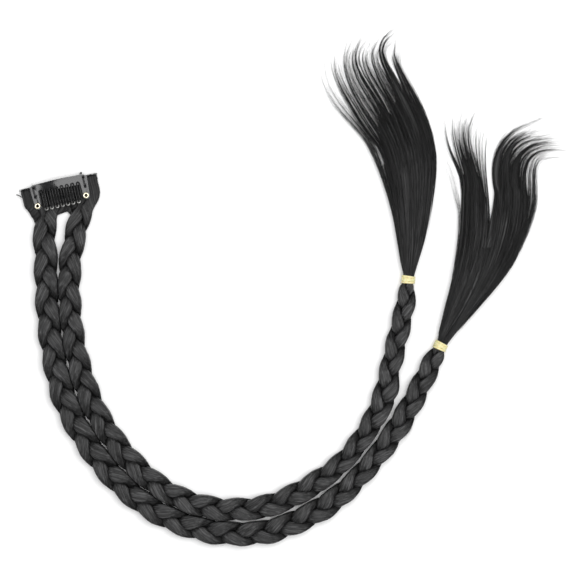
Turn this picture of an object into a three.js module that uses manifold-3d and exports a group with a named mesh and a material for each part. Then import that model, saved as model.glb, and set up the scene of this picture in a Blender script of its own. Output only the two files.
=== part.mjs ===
// Clip-in hair piece: a snap comb clip on a sewn weft that carries two three-strand braids, lying in a U.
// Millimetres, +Z up. The origin is on the surface that it lies on, under the middle of the weft.
import * as THREE from 'three';
import { mergeVertices } from 'three/addons/utils/BufferGeometryUtils.js';
import Module from 'manifold-3d';

const GAP = 0.3; // clearance between neighbouring pieces
const HEAD_TILT = 12.5; // degrees that the weft and its clip are turned on the surface

const WEFT_WIDTH = 50;
const WEFT_DEPTH = 5.4;
const WEFT_THICK = 4.2;
const WEFT_CORNER = 1.8;
const WEFT_EDGE = 0.5; // rounding of its upper and lower edges

const HINGE_Y = -9.8; // the line through the two eyelets, from the middle of the weft
const EYELET_X = 15.85;
const PLATE_BOTTOM = 5;
const PLATE_THICK = 0.6;
const PLATE_HALF_WIDTH = 19;
const PLATE_TOP_HALF = 16.6; // half length of its upper edge, between the slanted corners
const PLATE_TOP_Y = 3.9;
const PLATE_CORNER_Y = 2.3;
const PLATE_CROWN = 0.4; // how far the upper edge curves out
const BAR_LOW_Y = -2.2;
const BAR_SAG = 0.3;
const LEG_RADIUS = 2.4; // round end of each leg, about its eyelet
const LEG_IN_X = 13.6;
const BOW = 1.3; // rise of the bar's middle, the spring bow of the clip
const BOW_HALF = 13.6;
const EDGE_STEPS = 8;
const SEWING_HOLE = { x: 16.3, width: 1.3, height: 2.2, lean: 0.2, rows: [-4.9, 1.0] };

const EYELET_HOLE = 1.3; // radius of the hole in the leg
const EYELET_BARREL = 0.95;
const EYELET_BORE = 0.55;
const EYELET_FLANGE = 1.9;
const EYELET_RIM = 0.5;
const EYELET_SIDES = 12;

const WIRE_RADIUS = 0.4;
const WIRE_SIDES = 5;
const TIP_CLEAR = 0.15; // extra room between the tooth tips and the bar
const TOOTH_COUNT = 8;
const TOOTH_PITCH = 3.5;
const TOOTH_HALF = 0.8; // half the space between a tooth's two wires
const TIP_Y = -0.4;
const HEEL_Y = -13.5;
const HEEL_RISE = 0.8;
const TOOTH_BOW = 0.7;
const LEG_STEPS = 2;
const TURN_STEPS = 3;

const STRAND_GAP = 0.5;
const STRAND_SIDES = 6; // flat above and below
const STRAND_STEPS = 110;
// A section keeps clear of its neighbours over this part of the step before and after it.
const PRESS_REACH = [-0.4, -0.2, 0, 0.2, 0.4];
const HANG_LENGTH = 7; // each half of the hair leaves the weft straight over this length
const LAID_LENGTH = 4; // the strands lie side by side this far from the weft before they close up
const SWING = 0.49; // share of the braid's half width that a strand's centre swings
const BRAID_HALF_THICK = 4.75;
// Braid thickness near the weft, as a share, by distance from it.
const ROOT = [
  { at: 0, thick: 0.44 },
  { at: 14, thick: 0.47 },
  { at: 34, thick: 0.83 },
  { at: 55, thick: 1 },
];
// Braid width and thickness near its band, as shares, by distance back from it.
const TIE = [
  { at: 0, width: 0.36, thick: 0.56 },
  { at: 3.5, width: 0.38, thick: 0.57 },
  { at: 6.5, width: 0.64, thick: 0.7 },
  { at: 10, width: 0.78, thick: 0.82 },
  { at: 16, width: 0.87, thick: 0.92 },
  { at: 40, width: 0.94, thick: 1 },
  { at: 90, width: 1, thick: 1 },
];

const TIE_RISE = 14; // over this length before the band the braid's middle comes to the band's height

const BAND_RADIUS = 4.25;
const BAND_BORE = 3.55;
const BAND_HALF = 2.9;
const BAND_WRAPS = 3;
const BAND_GROOVE = 0.25;
const BAND_SIDES = 12;
const NECK_RADIUS = 2.75;
const NECK_PARTING = 0.1; // half the space between the tail's two halves in the band, as a share

const HEAD_SIDES = 10;
const HEAD_SETTLES = { from: 1, to: 2.5 }; // stations over which the tail comes down onto the surface
const LOCK_SIDES = 6;
const LOCK_STEPS = 5;
const LOCK_ROOT = 2; // stations that a lock runs inside the head
const LOCK_TIP = 0.3; // half thickness of a lock at its tip
const LOCK_TIP_WIDTH = 0.15; // share of its width that a lock keeps at its tip
const LOCK_THICK = 0.92;
const HEAD_THINNING = 0.75; // how far the head thins out between the locks
const HEAD_NARROWING = 0.12;

// The braid on the outside of the U. Notches are the dips between the lobes on one edge: first_notch and
// pitch place them from the weft, tighten shortens them towards the band, and a lobe is a third of a cycle.
const OUTER = {
  name: 'outer',
  side: -1,
  half_width: 7.4,
  first_notch: 18.9,
  pitch: 20.57,
  tighten: 0.066,
  notch_phase: 90,
  start_lobe: -0.25,
  route: [
    { x: -9.5, y: -20 },
    { x: -8.5, y: -47.5 },
    { x: -6.5, y: -86 },
    { x: -3.5, y: -108 },
    { x: 2.5, y: -134 },
    { x: 13.5, y: -157 },
    { x: 32, y: -183 },
    { x: 55.5, y: -204 },
    { x: 80, y: -216.5 },
    { x: 103, y: -222 },
    { x: 119, y: -222.5 },
    { x: 135, y: -221 },
    { x: 157, y: -212.5 },
    { x: 175.5, y: -201.5 },
    { x: 203, y: -172.5 },
    { x: 218, y: -152.5 },
    { x: 230.5, y: -129.5 },
    { x: 240, y: -110.5 },
    { x: 244, y: -102.5 },
  ],
  // Flow lines of the loose hair: its two edges and the two sides of its parting, with the half thickness.
  tail: [
    { left: [243.5, -92], split_l: [248.5, -93.5], split_r: [249.5, -93.5], right: [255, -93], thick: 3.6 },
    { left: [247.5, -77], split_l: [257.5, -78.5], split_r: [258.5, -78.5], right: [268, -77], thick: 4 },
    { left: [252, -60], split_l: [265.5, -61.5], split_r: [267, -61.5], right: [282, -60], thick: 3.8 },
    { left: [255.5, -42], split_l: [271.5, -43.5], split_r: [272.5, -43.5], right: [293, -42], thick: 3.4 },
    { left: [257.5, -23], split_l: [274.5, -23], split_r: [276.5, -23], right: [300, -23], thick: 2.9 },
    { left: [257.5, -4.5], split_l: [274.5, -4.5], split_r: [278.5, -4.5], right: [301, -4], thick: 2.4 },
    { left: [253, 14.5], split_l: [272, 13.5], split_r: [278, 13], right: [300, 11.5], thick: 1.9 },
    { left: [248.5, 30.5], split_l: [270.5, 26], split_r: [281.5, 23.5], right: [304, 21], thick: 1.4 },
    { left: [246, 41], split_l: [272, 36], split_r: [301.5, 34], right: [319, 24], thick: 1 },
  ],
  head_end: 6,
  // Tip locks: place across the tail (-1 left, 1 right), half width there, and the station where each ends.
  locks: [
    { across: -0.88, spread: 0.14, end: 10 },
    { across: -0.6, spread: 0.22, end: 9.5 },
    { across: -0.22, spread: 0.22, end: 9 },
    { across: 0.2, spread: 0.22, end: 9.7 },
    { across: 0.55, spread: 0.24, end: 10 },
    { across: 0.85, spread: 0.18, end: 10 },
  ],
};

// The braid on the inside of the U.
const INNER = {
  name: 'inner',
  side: 1,
  half_width: 7,
  first_notch: 27.4,
  pitch: 19.29,
  tighten: 0.0386,
  notch_phase: -90,
  start_lobe: -0.75,
  route: [
    { x: 13.5, y: -18.5 },
    { x: 11, y: -29.5 },
    { x: 8.5, y: -41 },
    { x: 7, y: -57 },
    { x: 7, y: -73 },
    { x: 11, y: -105 },
    { x: 21, y: -137 },
    { x: 29.5, y: -153.5 },
    { x: 46.5, y: -176 },
    { x: 68, y: -194.5 },
    { x: 88.5, y: -203.5 },
    { x: 104.5, y: -206.5 },
    { x: 119.5, y: -206.5 },
    { x: 136.5, y: -203.5 },
    { x: 164.5, y: -189.5 },
    { x: 185, y: -173.5 },
    { x: 204, y: -144 },
    { x: 215.5, y: -102 },
    { x: 222, y: -73 },
    { x: 223.5, y: -60 },
  ],
  tail: [
    { left: [219, -48.5], split_l: [224, -48.5], split_r: [225.5, -48.5], right: [230, -48.5], thick: 3.6 },
    { left: [216.5, -31.5], split_l: [225.5, -31.5], split_r: [226, -31.5], right: [235, -31.5], thick: 4 },
    { left: [212.5, -9], split_l: [225.5, -8], split_r: [226.5, -7.5], right: [239, -6.5], thick: 3.8 },
    { left: [208.5, 10], split_l: [224.5, 12.5], split_r: [225.5, 13], right: [241, 14.5], thick: 3.4 },
    { left: [201, 29.5], split_l: [220.5, 31], split_r: [221.5, 31.5], right: [238, 35], thick: 2.8 },
    { left: [187.5, 47.5], split_l: [210.5, 52], split_r: [212, 52.5], right: [230.5, 56.5], thick: 2.2 },
    { left: [174.5, 60], split_l: [200.5, 66.5], split_r: [202, 68], right: [221.5, 69], thick: 1.6 },
    { left: [168.5, 73], split_l: [194, 80.5], split_r: [197, 82], right: [215.5, 80.5], thick: 1.2 },
    { left: [167, 80.5], split_l: [196.5, 93.5], split_r: [208, 94.5], right: [215.5, 91], thick: 0.9 },
  ],
  head_end: 7,
  locks: [
    { across: -0.84, spread: 0.18, end: 9.5 },
    { across: -0.52, spread: 0.2, end: 9.3 },
    { across: -0.2, spread: 0.2, end: 10 },
    { across: 0.12, spread: 0.2, end: 10 },
    { across: 0.45, spread: 0.22, end: 9.8 },
    { across: 0.8, spread: 0.22, end: 9.7 },
  ],
};

const UP = new THREE.Vector3(0, 0, 1);
const wasm = await Module();
wasm.setup();

const hair = (colour) => new THREE.MeshStandardMaterial({ color: colour, roughness: 0.5, metalness: 0 });
const blackPaint = () => new THREE.MeshStandardMaterial({ color: 0x16161a, roughness: 0.3, metalness: 0.3 });
const paleBrass = () => new THREE.MeshStandardMaterial({ color: 0xd9c99a, roughness: 0.3, metalness: 0.9 });
const yellowRubber = () => new THREE.MeshStandardMaterial({ color: 0xeadf9c, roughness: 0.6, metalness: 0 });

// Value of one column of a table at a distance, straight between its rows.
function column(rows, key, at) {
  const next = rows.findIndex((row) => row.at >= at);
  if (next === 0) return rows[0][key];
  if (next < 0) return rows.at(-1)[key];
  const [low, high] = [rows[next - 1], rows[next]];
  return THREE.MathUtils.mapLinear(at, low.at, high.at, low[key], high[key]);
}

// Closed solid through rings of points, each ring turning from its left side up to +Z as seen from the end.
// A twisted patch between two rings folds inwards, so that neighbours pressed together stay clear.
function loft(rings) {
  const sides = rings[0].length;
  const index = [];
  for (let i = 0; i + 1 < rings.length; i++) {
    for (let j = 0; j < sides; j++) {
      const k = (j + 1) % sides;
      const [a, b, c, d] = [i * sides + j, i * sides + k, (i + 1) * sides + k, (i + 1) * sides + j];
      const facing = new THREE.Plane().setFromCoplanarPoints(rings[i][j], rings[i][k], rings[i + 1][k]);
      const hollow = facing.distanceToPoint(rings[i + 1][j]) > 0;
      index.push(...(hollow ? [a, b, c, a, c, d] : [a, b, d, b, c, d]));
    }
  }
  const last = (rings.length - 1) * sides;
  for (let j = 1; j + 1 < sides; j++) {
    index.push(0, j + 1, j, last, last + j, last + j + 1);
  }
  const geometry = new THREE.BufferGeometry().setFromPoints(rings.flat());
  geometry.setIndex(index);
  geometry.computeVertexNormals();
  return geometry;
}

const leftOf = (direction) => new THREE.Vector3().crossVectors(UP, direction).normalize();

// Points round an ellipse whose first axis is given as a vector and whose second is upright.
function ellipse(centre, axis, half_height, sides) {
  return Array.from({ length: sides }, (_, j) => {
    const turn = (j / sides) * 2 * Math.PI;
    const point = centre.clone().addScaledVector(axis, Math.cos(turn));
    return point.addScaledVector(UP, half_height * Math.sin(turn));
  });
}

function asSolid(geometry) {
  const bare = geometry.clone();
  bare.deleteAttribute('normal');
  bare.deleteAttribute('uv');
  const merged = mergeVertices(bare);
  return new wasm.Manifold(new wasm.Mesh({
    numProp: 3,
    vertProperties: new Float32Array(merged.attributes.position.array),
    triVerts: new Uint32Array(merged.index.array),
  }));
}

function fused(geometries) {
  const [first, ...rest] = geometries.map(asSolid);
  const mesh = rest.reduce((body, piece) => body.add(piece), first).getMesh();
  const geometry = new THREE.BufferGeometry();
  geometry.setAttribute('position', new THREE.BufferAttribute(mesh.vertProperties, 3));
  geometry.setIndex(new THREE.BufferAttribute(mesh.triVerts, 1));
  geometry.computeVertexNormals();
  return geometry;
}

function named(name, geometry, material) {
  const mesh = new THREE.Mesh(geometry, material);
  mesh.name = name;
  return mesh;
}

// Weft and clip

function weft() {
  const [x, y] = [WEFT_WIDTH / 2 - WEFT_EDGE, WEFT_DEPTH / 2 - WEFT_EDGE];
  const r = WEFT_CORNER;
  const outline = new THREE.Shape();
  outline.moveTo(r - x, -y);
  outline.absarc(x - r, r - y, r, -Math.PI / 2, 0);
  outline.absarc(x - r, y - r, r, 0, Math.PI / 2);
  outline.absarc(r - x, y - r, r, Math.PI / 2, Math.PI);
  outline.absarc(r - x, r - y, r, Math.PI, 1.5 * Math.PI);
  const geometry = new THREE.ExtrudeGeometry(outline, {
    depth: WEFT_THICK - 2 * WEFT_EDGE,
    bevelThickness: WEFT_EDGE,
    bevelSize: WEFT_EDGE,
    bevelSegments: 1,
    curveSegments: 2,
  });
  geometry.translate(0, 0, WEFT_EDGE);
  return named('weft', geometry, hair(0x1d1d1f));
}

// Spring bow of the bar: its middle stands up, its ends and the legs stay flat.
const bow = (x) => (Math.abs(x) < BOW_HALF ? BOW * Math.cos((x / BOW_HALF) * (Math.PI / 2)) ** 2 : 0);

function clipFrame() {
  const outline = new THREE.Shape();
  outline.absarc(EYELET_X, HINGE_Y, LEG_RADIUS, Math.PI, 2 * Math.PI);
  outline.lineTo(PLATE_HALF_WIDTH, PLATE_CORNER_Y);
  for (let i = 0; i <= EDGE_STEPS; i++) {
    const t = 1 - (2 * i) / EDGE_STEPS;
    outline.lineTo(PLATE_TOP_HALF * t, PLATE_TOP_Y + PLATE_CROWN * (1 - t * t));
  }
  outline.lineTo(-PLATE_HALF_WIDTH, PLATE_CORNER_Y);
  outline.absarc(-EYELET_X, HINGE_Y, LEG_RADIUS, Math.PI, 2 * Math.PI);
  for (let i = 0; i <= EDGE_STEPS; i++) {
    const t = (2 * i) / EDGE_STEPS - 1;
    outline.lineTo(LEG_IN_X * t, BAR_LOW_Y + BAR_SAG * (1 - t * t));
  }
  for (const side of [-1, 1]) {
    outline.holes.push(new THREE.Path().absarc(side * EYELET_X, HINGE_Y, EYELET_HOLE, 0, 2 * Math.PI));
    const { x, width, height, lean, rows } = SEWING_HOLE;
    for (const y of rows) {
      const [near, far] = [side * (x - width / 2), side * (x + width / 2)];
      const corners = [[near, y], [far, y - lean], [far, y + height - lean], [near, y + height]];
      outline.holes.push(new THREE.Path(corners.map(([u, v]) => new THREE.Vector2(u, v))));
    }
  }
  const flat = { depth: PLATE_THICK, bevelEnabled: false, curveSegments: 5 };
  const geometry = new THREE.ExtrudeGeometry(outline, flat);
  geometry.translate(0, 0, PLATE_BOTTOM);
  const points = geometry.attributes.position;
  for (let i = 0; i < points.count; i++) {
    points.setZ(i, points.getZ(i) + bow(points.getX(i)));
  }
  geometry.computeVertexNormals();
  return named('clip_frame', geometry, blackPaint());
}

const HINGE_Z = PLATE_BOTTOM + PLATE_THICK + GAP + WIRE_RADIUS;

function eyelet(name, side) {
  const rim_low = HINGE_Z + WIRE_RADIUS + GAP;
  const rim_high = rim_low + EYELET_RIM;
  const profile = [
    [EYELET_BORE, PLATE_BOTTOM],
    [EYELET_BARREL, PLATE_BOTTOM],
    [EYELET_BARREL, rim_low],
    [EYELET_FLANGE, rim_low],
    [EYELET_FLANGE - EYELET_RIM / 2, rim_high],
    [EYELET_BORE + EYELET_RIM / 2, rim_high],
    [EYELET_BORE, rim_low],
    [EYELET_BORE, PLATE_BOTTOM],
  ];
  const geometry = new THREE.LatheGeometry(profile.map(([r, z]) => new THREE.Vector2(r, z)), EYELET_SIDES);
  geometry.rotateX(Math.PI / 2);
  const mesh = named(name, geometry, paleBrass());
  mesh.position.set(side * EYELET_X, HINGE_Y, 0);
  return mesh;
}

// Height of the comb's wire: level at the hinge, bowed along each tooth, on the bar's bow at the tips.
function wireHeight(x, y) {
  const reach = (y - HINGE_Y) / (TIP_Y - HINGE_Y);
  if (reach < 0) return HINGE_Z + HEEL_RISE * ((HINGE_Y - y) / (HINGE_Y - HEEL_Y));
  const rise = (bow(x) + TIP_CLEAR) * THREE.MathUtils.smoothstep(reach, 0, 1);
  return HINGE_Z + rise + TOOTH_BOW * Math.sin(Math.PI * reach);
}

function clipComb() {
  const path = [];
  const to = (x, y) => path.push(new THREE.Vector3(x, y, wireHeight(x, y)));
  const wire = (x, from, until) => {
    for (let i = 0; i <= LEG_STEPS; i++) to(x, THREE.MathUtils.lerp(from, until, i / LEG_STEPS));
  };
  const turn = (x, y, radius, direction) => {
    for (let i = 1; i < TURN_STEPS; i++) {
      const angle = (Math.PI * i) / TURN_STEPS;
      to(x - radius * Math.cos(angle), y + direction * radius * Math.sin(angle));
    }
  };
  const stub = EYELET_X - EYELET_BARREL - GAP;
  const end = (TOOTH_PITCH * (TOOTH_COUNT - 1)) / 2 + TOOTH_HALF;
  const heel_radius = TOOTH_PITCH / 2 - TOOTH_HALF;
  const low = HEEL_Y + heel_radius;
  const high = TIP_Y - TOOTH_HALF;
  to(-stub, HINGE_Y);
  to(-end - WIRE_RADIUS, HINGE_Y);
  for (let i = 0; i < TOOTH_COUNT; i++) {
    const x = (i - (TOOTH_COUNT - 1) / 2) * TOOTH_PITCH;
    wire(x - TOOTH_HALF, i === 0 ? HINGE_Y + WIRE_RADIUS : low, high);
    turn(x, high, TOOTH_HALF, 1);
    wire(x + TOOTH_HALF, high, i === TOOTH_COUNT - 1 ? HINGE_Y + WIRE_RADIUS : low);
    if (i < TOOTH_COUNT - 1) turn(x + TOOTH_PITCH / 2, low, heel_radius, -1);
  }
  to(end + WIRE_RADIUS, HINGE_Y);
  to(stub, HINGE_Y);
  const rings = path.map((point, i) => {
    const before = path[Math.max(i - 1, 0)];
    const after = path[Math.min(i + 1, path.length - 1)];
    const side = leftOf(after.clone().sub(before)).multiplyScalar(WIRE_RADIUS);
    return ellipse(point, side, WIRE_RADIUS, WIRE_SIDES);
  });
  return named('clip_comb', loft(rings), blackPaint());
}

// Braids

const headTurn = THREE.MathUtils.degToRad(HEAD_TILT);
const onHead = (x, y) => new THREE.Vector3(x, y, 0).applyAxisAngle(UP, headTurn);

// Centreline from the weft's lower edge to the middle of the band.
function centreline(braid) {
  const x = (braid.side * WEFT_WIDTH) / 4;
  const start = -WEFT_DEPTH / 2 - GAP;
  const points = [onHead(x, start), onHead(x, start - HANG_LENGTH)];
  for (const row of braid.route) points.push(new THREE.Vector3(row.x, row.y, 0));
  const curve = new THREE.CatmullRomCurve3(points, false, 'centripetal');
  curve.arcLengthDivisions = 2000;
  return curve;
}

const notchAt = (braid, lobe) => braid.first_notch + braid.pitch * lobe - braid.tighten * lobe ** 2;

function lobeAt(braid, along) {
  const { first_notch, pitch, tighten } = braid;
  return (pitch - Math.sqrt(pitch ** 2 - 4 * tighten * (along - first_notch))) / (2 * tighten);
}

// Places of the three strands in one section of the braid, across (u) and up (w), with their half sizes.
function braidSection(braid, length, along) {
  const back = length - along;
  const half_width = braid.half_width * column(TIE, 'width', back);
  const half_thick = BRAID_HALF_THICK * column(ROOT, 'thick', along) * column(TIE, 'thick', back);
  const first_cross = LAID_LENGTH + notchAt(braid, braid.start_lobe);
  const woven = THREE.MathUtils.smoothstep(along, LAID_LENGTH, first_cross);
  const share = WEFT_WIDTH / 6;
  const lobe = Math.max(lobeAt(braid, along), braid.start_lobe);
  const tied = THREE.MathUtils.smoothstep(back, 0, TIE_RISE);
  const strands = [0, 1, 2].map((index) => {
    const third = (index * 2 * Math.PI) / 3;
    const turn = THREE.MathUtils.degToRad(braid.notch_phase) + (lobe * 2 * Math.PI) / 3 + third;
    const laid = (share * Math.sin(turn)) / Math.sin(Math.PI / 3);
    return {
      u: THREE.MathUtils.lerp(laid, SWING * half_width * Math.sin(turn), woven),
      w: woven * SWING * half_thick * Math.sin(2 * turn),
    };
  });
  return {
    strands,
    half_u: THREE.MathUtils.lerp((share - GAP) / 2, (1 - SWING) * half_width, woven),
    half_w: THREE.MathUtils.lerp(half_thick, (1 - SWING) * half_thick, woven),
    centre_z: THREE.MathUtils.lerp(BAND_RADIUS, half_thick, tied),
  };
}

// Share of a strand's own ellipse that it keeps in one direction, where its neighbours press it flat.
function pressed(section, index, direction) {
  const { strands, half_u, half_w } = section;
  const own = strands[index];
  let share = 1;
  strands.forEach((other, i) => {
    if (i === index) return;
    const [du, dw] = [other.u - own.u, other.w - own.w];
    const normal = new THREE.Vector2(du / half_u ** 2, dw / half_w ** 2).normalize();
    const facing = normal.dot(direction);
    const room = (normal.x * du + normal.y * dw - STRAND_GAP) / 2;
    if (facing > 0) share = Math.min(share, room / facing);
  });
  return share;
}

function strand(braid, curve, index) {
  const length = curve.getLength();
  const step = (length - GAP / 2) / STRAND_STEPS;
  const rings = [];
  for (let i = 0; i <= STRAND_STEPS; i++) {
    const along = step * i;
    const section = braidSection(braid, length, along);
    const nearby = PRESS_REACH.map((reach) => braidSection(braid, length, along + reach * step));
    const point = curve.getPointAt(along / length);
    const side = leftOf(curve.getTangentAt(along / length));
    const own = section.strands[index];
    rings.push(Array.from({ length: STRAND_SIDES }, (_, j) => {
      const turn = (j / STRAND_SIDES) * 2 * Math.PI;
      const flat_w = section.half_w / Math.sin((2 * Math.PI) / STRAND_SIDES);
      const direction = new THREE.Vector2(section.half_u * Math.cos(turn), flat_w * Math.sin(turn));
      direction.multiplyScalar(Math.min(...nearby.map((at) => pressed(at, index, direction))));
      const corner = point.clone().addScaledVector(side, own.u + direction.x);
      return corner.setZ(section.centre_z + own.w + direction.y);
    }));
  }
  return named(`${braid.name}_strand_${index + 1}`, loft(rings), hair(0x2b2b2d));
}

function band(braid, curve) {
  const outside = [];
  for (let i = 0; i <= 2 * BAND_WRAPS; i++) {
    const radius = i % 2 ? BAND_RADIUS : BAND_RADIUS - BAND_GROOVE;
    outside.push(new THREE.Vector2(radius, BAND_HALF * (i / BAND_WRAPS - 1)));
  }
  const low = new THREE.Vector2(BAND_BORE, -BAND_HALF);
  const high = new THREE.Vector2(BAND_BORE, BAND_HALF);
  const geometry = new THREE.LatheGeometry([low, ...outside, high, low], BAND_SIDES);
  const mesh = named(`${braid.name}_band`, geometry, yellowRubber());
  mesh.position.copy(curve.getPointAt(1)).setZ(BAND_RADIUS);
  mesh.quaternion.setFromUnitVectors(new THREE.Vector3(0, 1, 0), curve.getTangentAt(1));
  return mesh;
}

// Tails

// Flow lines of the tail's hair, from the middle of the band: place(across, station) and thick(station).
function tailFlow(braid, curve) {
  const end = curve.getPointAt(1);
  const ahead = curve.getTangentAt(1);
  const left = leftOf(ahead);
  const neck = [GAP / 2, BAND_HALF + GAP].map((distance) => {
    const middle = end.clone().addScaledVector(ahead, distance);
    const at = (across) => middle.clone().addScaledVector(left, NECK_RADIUS * across);
    return { left: at(1), split_l: at(NECK_PARTING), split_r: at(-NECK_PARTING), right: at(-1) };
  });
  const lines = {};
  for (const key of ['left', 'split_l', 'split_r', 'right']) {
    const points = neck.map((row) => row[key]);
    for (const row of braid.tail) points.push(new THREE.Vector3(...row[key], 0));
    lines[key] = new THREE.CatmullRomCurve3(points, false, 'centripetal');
  }
  const thicknesses = [NECK_RADIUS, NECK_RADIUS, ...braid.tail.map((row) => row.thick)];
  const thick_rows = thicknesses.map((thick, at) => ({ at, thick }));
  const last = thick_rows.length - 1;
  const place = (across, station) => {
    const t = station / last;
    if (across < 0) return lines.left.getPoint(t).lerp(lines.split_l.getPoint(t), across + 1);
    return lines.split_r.getPoint(t).lerp(lines.right.getPoint(t), across);
  };
  return { place, thick: (station) => column(thick_rows, 'thick', station) };
}

function tail(braid, curve) {
  const flow = tailFlow(braid, curve);
  const begin = braid.head_end - LOCK_ROOT;
  const head = [];
  for (let station = 0; station <= braid.head_end; station++) {
    const ended = THREE.MathUtils.smoothstep(station, begin, braid.head_end);
    const half_thick = flow.thick(station) * (1 - HEAD_THINNING * ended);
    const settled = THREE.MathUtils.smoothstep(station, HEAD_SETTLES.from, HEAD_SETTLES.to);
    const centre_z = THREE.MathUtils.lerp(BAND_RADIUS, half_thick, settled);
    head.push(Array.from({ length: HEAD_SIDES }, (_, j) => {
      const turn = (j / HEAD_SIDES) * 2 * Math.PI;
      const across = -Math.cos(turn) * (1 - HEAD_NARROWING * ended);
      return flow.place(across, station).setZ(centre_z + half_thick * Math.sin(turn));
    }));
  }
  const locks = braid.locks.map(({ across, spread, end }) => {
    const rings = [];
    for (let i = 0; i <= LOCK_STEPS; i++) {
      const station = THREE.MathUtils.lerp(begin, end, i / LOCK_STEPS);
      const taper = 1 - (i / LOCK_STEPS) ** 2;
      const centre = flow.place(across, station);
      const half_thick = LOCK_TIP + (flow.thick(station) - LOCK_TIP) * taper * LOCK_THICK;
      const edge = flow.place(Math.max(across - spread, -1), station).sub(centre);
      edge.multiplyScalar(LOCK_TIP_WIDTH + (1 - LOCK_TIP_WIDTH) * taper);
      rings.push(ellipse(centre.setZ(half_thick), edge, half_thick, LOCK_SIDES));
    }
    return loft(rings);
  });
  return named(`${braid.name}_tail`, fused([loft(head), ...locks]), hair(0x202022));
}

const hairPiece = new THREE.Group();
const head = new THREE.Group();
head.rotation.z = headTurn;
head.add(weft(), clipFrame(), clipComb(), eyelet('eyelet_left', -1), eyelet('eyelet_right', 1));
hairPiece.add(head);
for (const braid of [OUTER, INNER]) {
  const curve = centreline(braid);
  for (const index of [0, 1, 2]) hairPiece.add(strand(braid, curve, index));
  hairPiece.add(band(braid, curve), tail(braid, curve));
}

export default hairPiece;
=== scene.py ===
import math

import bmesh
import bpy
import numpy as np
from mathutils import Matrix, Vector


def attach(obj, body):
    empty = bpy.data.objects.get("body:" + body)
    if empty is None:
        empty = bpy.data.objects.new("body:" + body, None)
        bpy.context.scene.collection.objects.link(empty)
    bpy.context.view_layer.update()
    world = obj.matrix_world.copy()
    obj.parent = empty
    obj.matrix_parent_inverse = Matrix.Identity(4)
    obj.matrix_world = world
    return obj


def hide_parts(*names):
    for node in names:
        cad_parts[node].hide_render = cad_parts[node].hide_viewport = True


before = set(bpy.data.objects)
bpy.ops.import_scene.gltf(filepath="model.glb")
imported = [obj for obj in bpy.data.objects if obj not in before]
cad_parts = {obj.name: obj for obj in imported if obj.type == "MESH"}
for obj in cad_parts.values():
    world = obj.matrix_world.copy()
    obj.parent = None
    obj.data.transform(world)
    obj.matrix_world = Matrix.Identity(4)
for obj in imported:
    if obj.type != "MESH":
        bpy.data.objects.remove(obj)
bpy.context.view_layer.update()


def named(columns, rows):
    """Rows of a table, with their values named by column."""
    return [dict(zip(columns.split(), row)) for row in rows]


# Sizes are in millimetres; a mesh is scaled to metres when it is made.
MM = 0.001
UP = np.array([0.0, 0.0, 1.0])
HEAD_TILT = math.radians(12.5)
GAP = 0.3
BAKE_MAP = "OFBake"
FIBRE = "fibre"
SHADE = "shade"
SEEDS = {"strand": 1000, "tail": 50, "weft": 5, "fall": 9, "stitches": 3}
# Lowest place of a bundle of hair above the surface.
CLEAR = 0.05

WEFT_WIDTH = 50
WEFT_DEPTH = 5.4
WEFT_THICK = 4.2

HINGE_Y = -9.8
EYELET_X = 15.85
PLATE_BOTTOM = 5
PLATE_THICK = 0.6
PLATE_HALF_WIDTH = 19
PLATE_TOP_HALF = 16.6
PLATE_TOP_Y = 3.9
PLATE_CORNER_Y = 2.3
PLATE_CROWN = 0.4
BAR_LOW_Y = -2.2
BAR_SAG = 0.3
LEG_RADIUS = 2.4
LEG_IN_X = 13.6
BOW = 1.3
BOW_HALF = 13.6
SEWING_HOLE = {"x": 16.3, "width": 1.3, "height": 2.2, "rows": (-4.9, 1.0)}

EYELET_HOLE = 1.3
EYELET_BARREL = 1.1
EYELET_BORE = 0.85
EYELET_FLANGE = 1.9
EYELET_RIM = 0.5

WIRE_RADIUS = 0.4
PAINT_COAT = 0.09
TIP_CLEAR = 0.15
TOOTH_COUNT = 8
TOOTH_PITCH = 3.5
TOOTH_HALF = 0.8
TIP_Y = -0.4
HEEL_Y = -13.5
HEEL_RISE = 0.8
TOOTH_BOW = 0.7
HINGE_Z = PLATE_BOTTOM + PLATE_THICK + GAP + WIRE_RADIUS

HANG_LENGTH = 7
LAID_LENGTH = 4
SWING = 0.44
RISE = 0.22
RISE_LAG = 0.35
STRAND_SHARE = 0.62
BRAID_HALF_THICK = 4.75
TIE_RISE = 14
# Shares of a braid's full size, by distance from the weft and by distance back from its band.
ROOT = named("at thick", [(0, 0.44), (14, 0.47), (34, 0.83), (55, 1)])
TIE = named("at width thick", [
    (0, 0.44, 0.64), (2.4, 0.48, 0.65), (3.6, 0.62, 0.68), (6.5, 0.76, 0.74),
    (10, 0.84, 0.84), (16, 0.9, 0.92), (40, 0.95, 1), (90, 1, 1),
])

BAND_RADIUS = 4.5
BAND_HALF = 2.6
NECK_RADIUS = 3.5
NECK_PARTING = 0.1
LAST_STATION = 10
# A tail by station from its band: the edges of its two halves on the surface, and its half thickness.
TAIL = "left split_l split_r right thick"
# Solid heart of each half: its edges across the tail by station.
LIMITS = "at low high"
# Tip locks: place and half width across the tail, the station where each leaves the body, its wisps and
# hairs, the width of its solid heart and how far along it that reaches, how far the hairs of a wisp are
# drawn together at the tip, the length of the shortest hairs, all as shares, and the line of the tip with
# its half width there.
LOCK = "across spread leaves wisps hairs heart reach drawn shortest tip"

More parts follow.
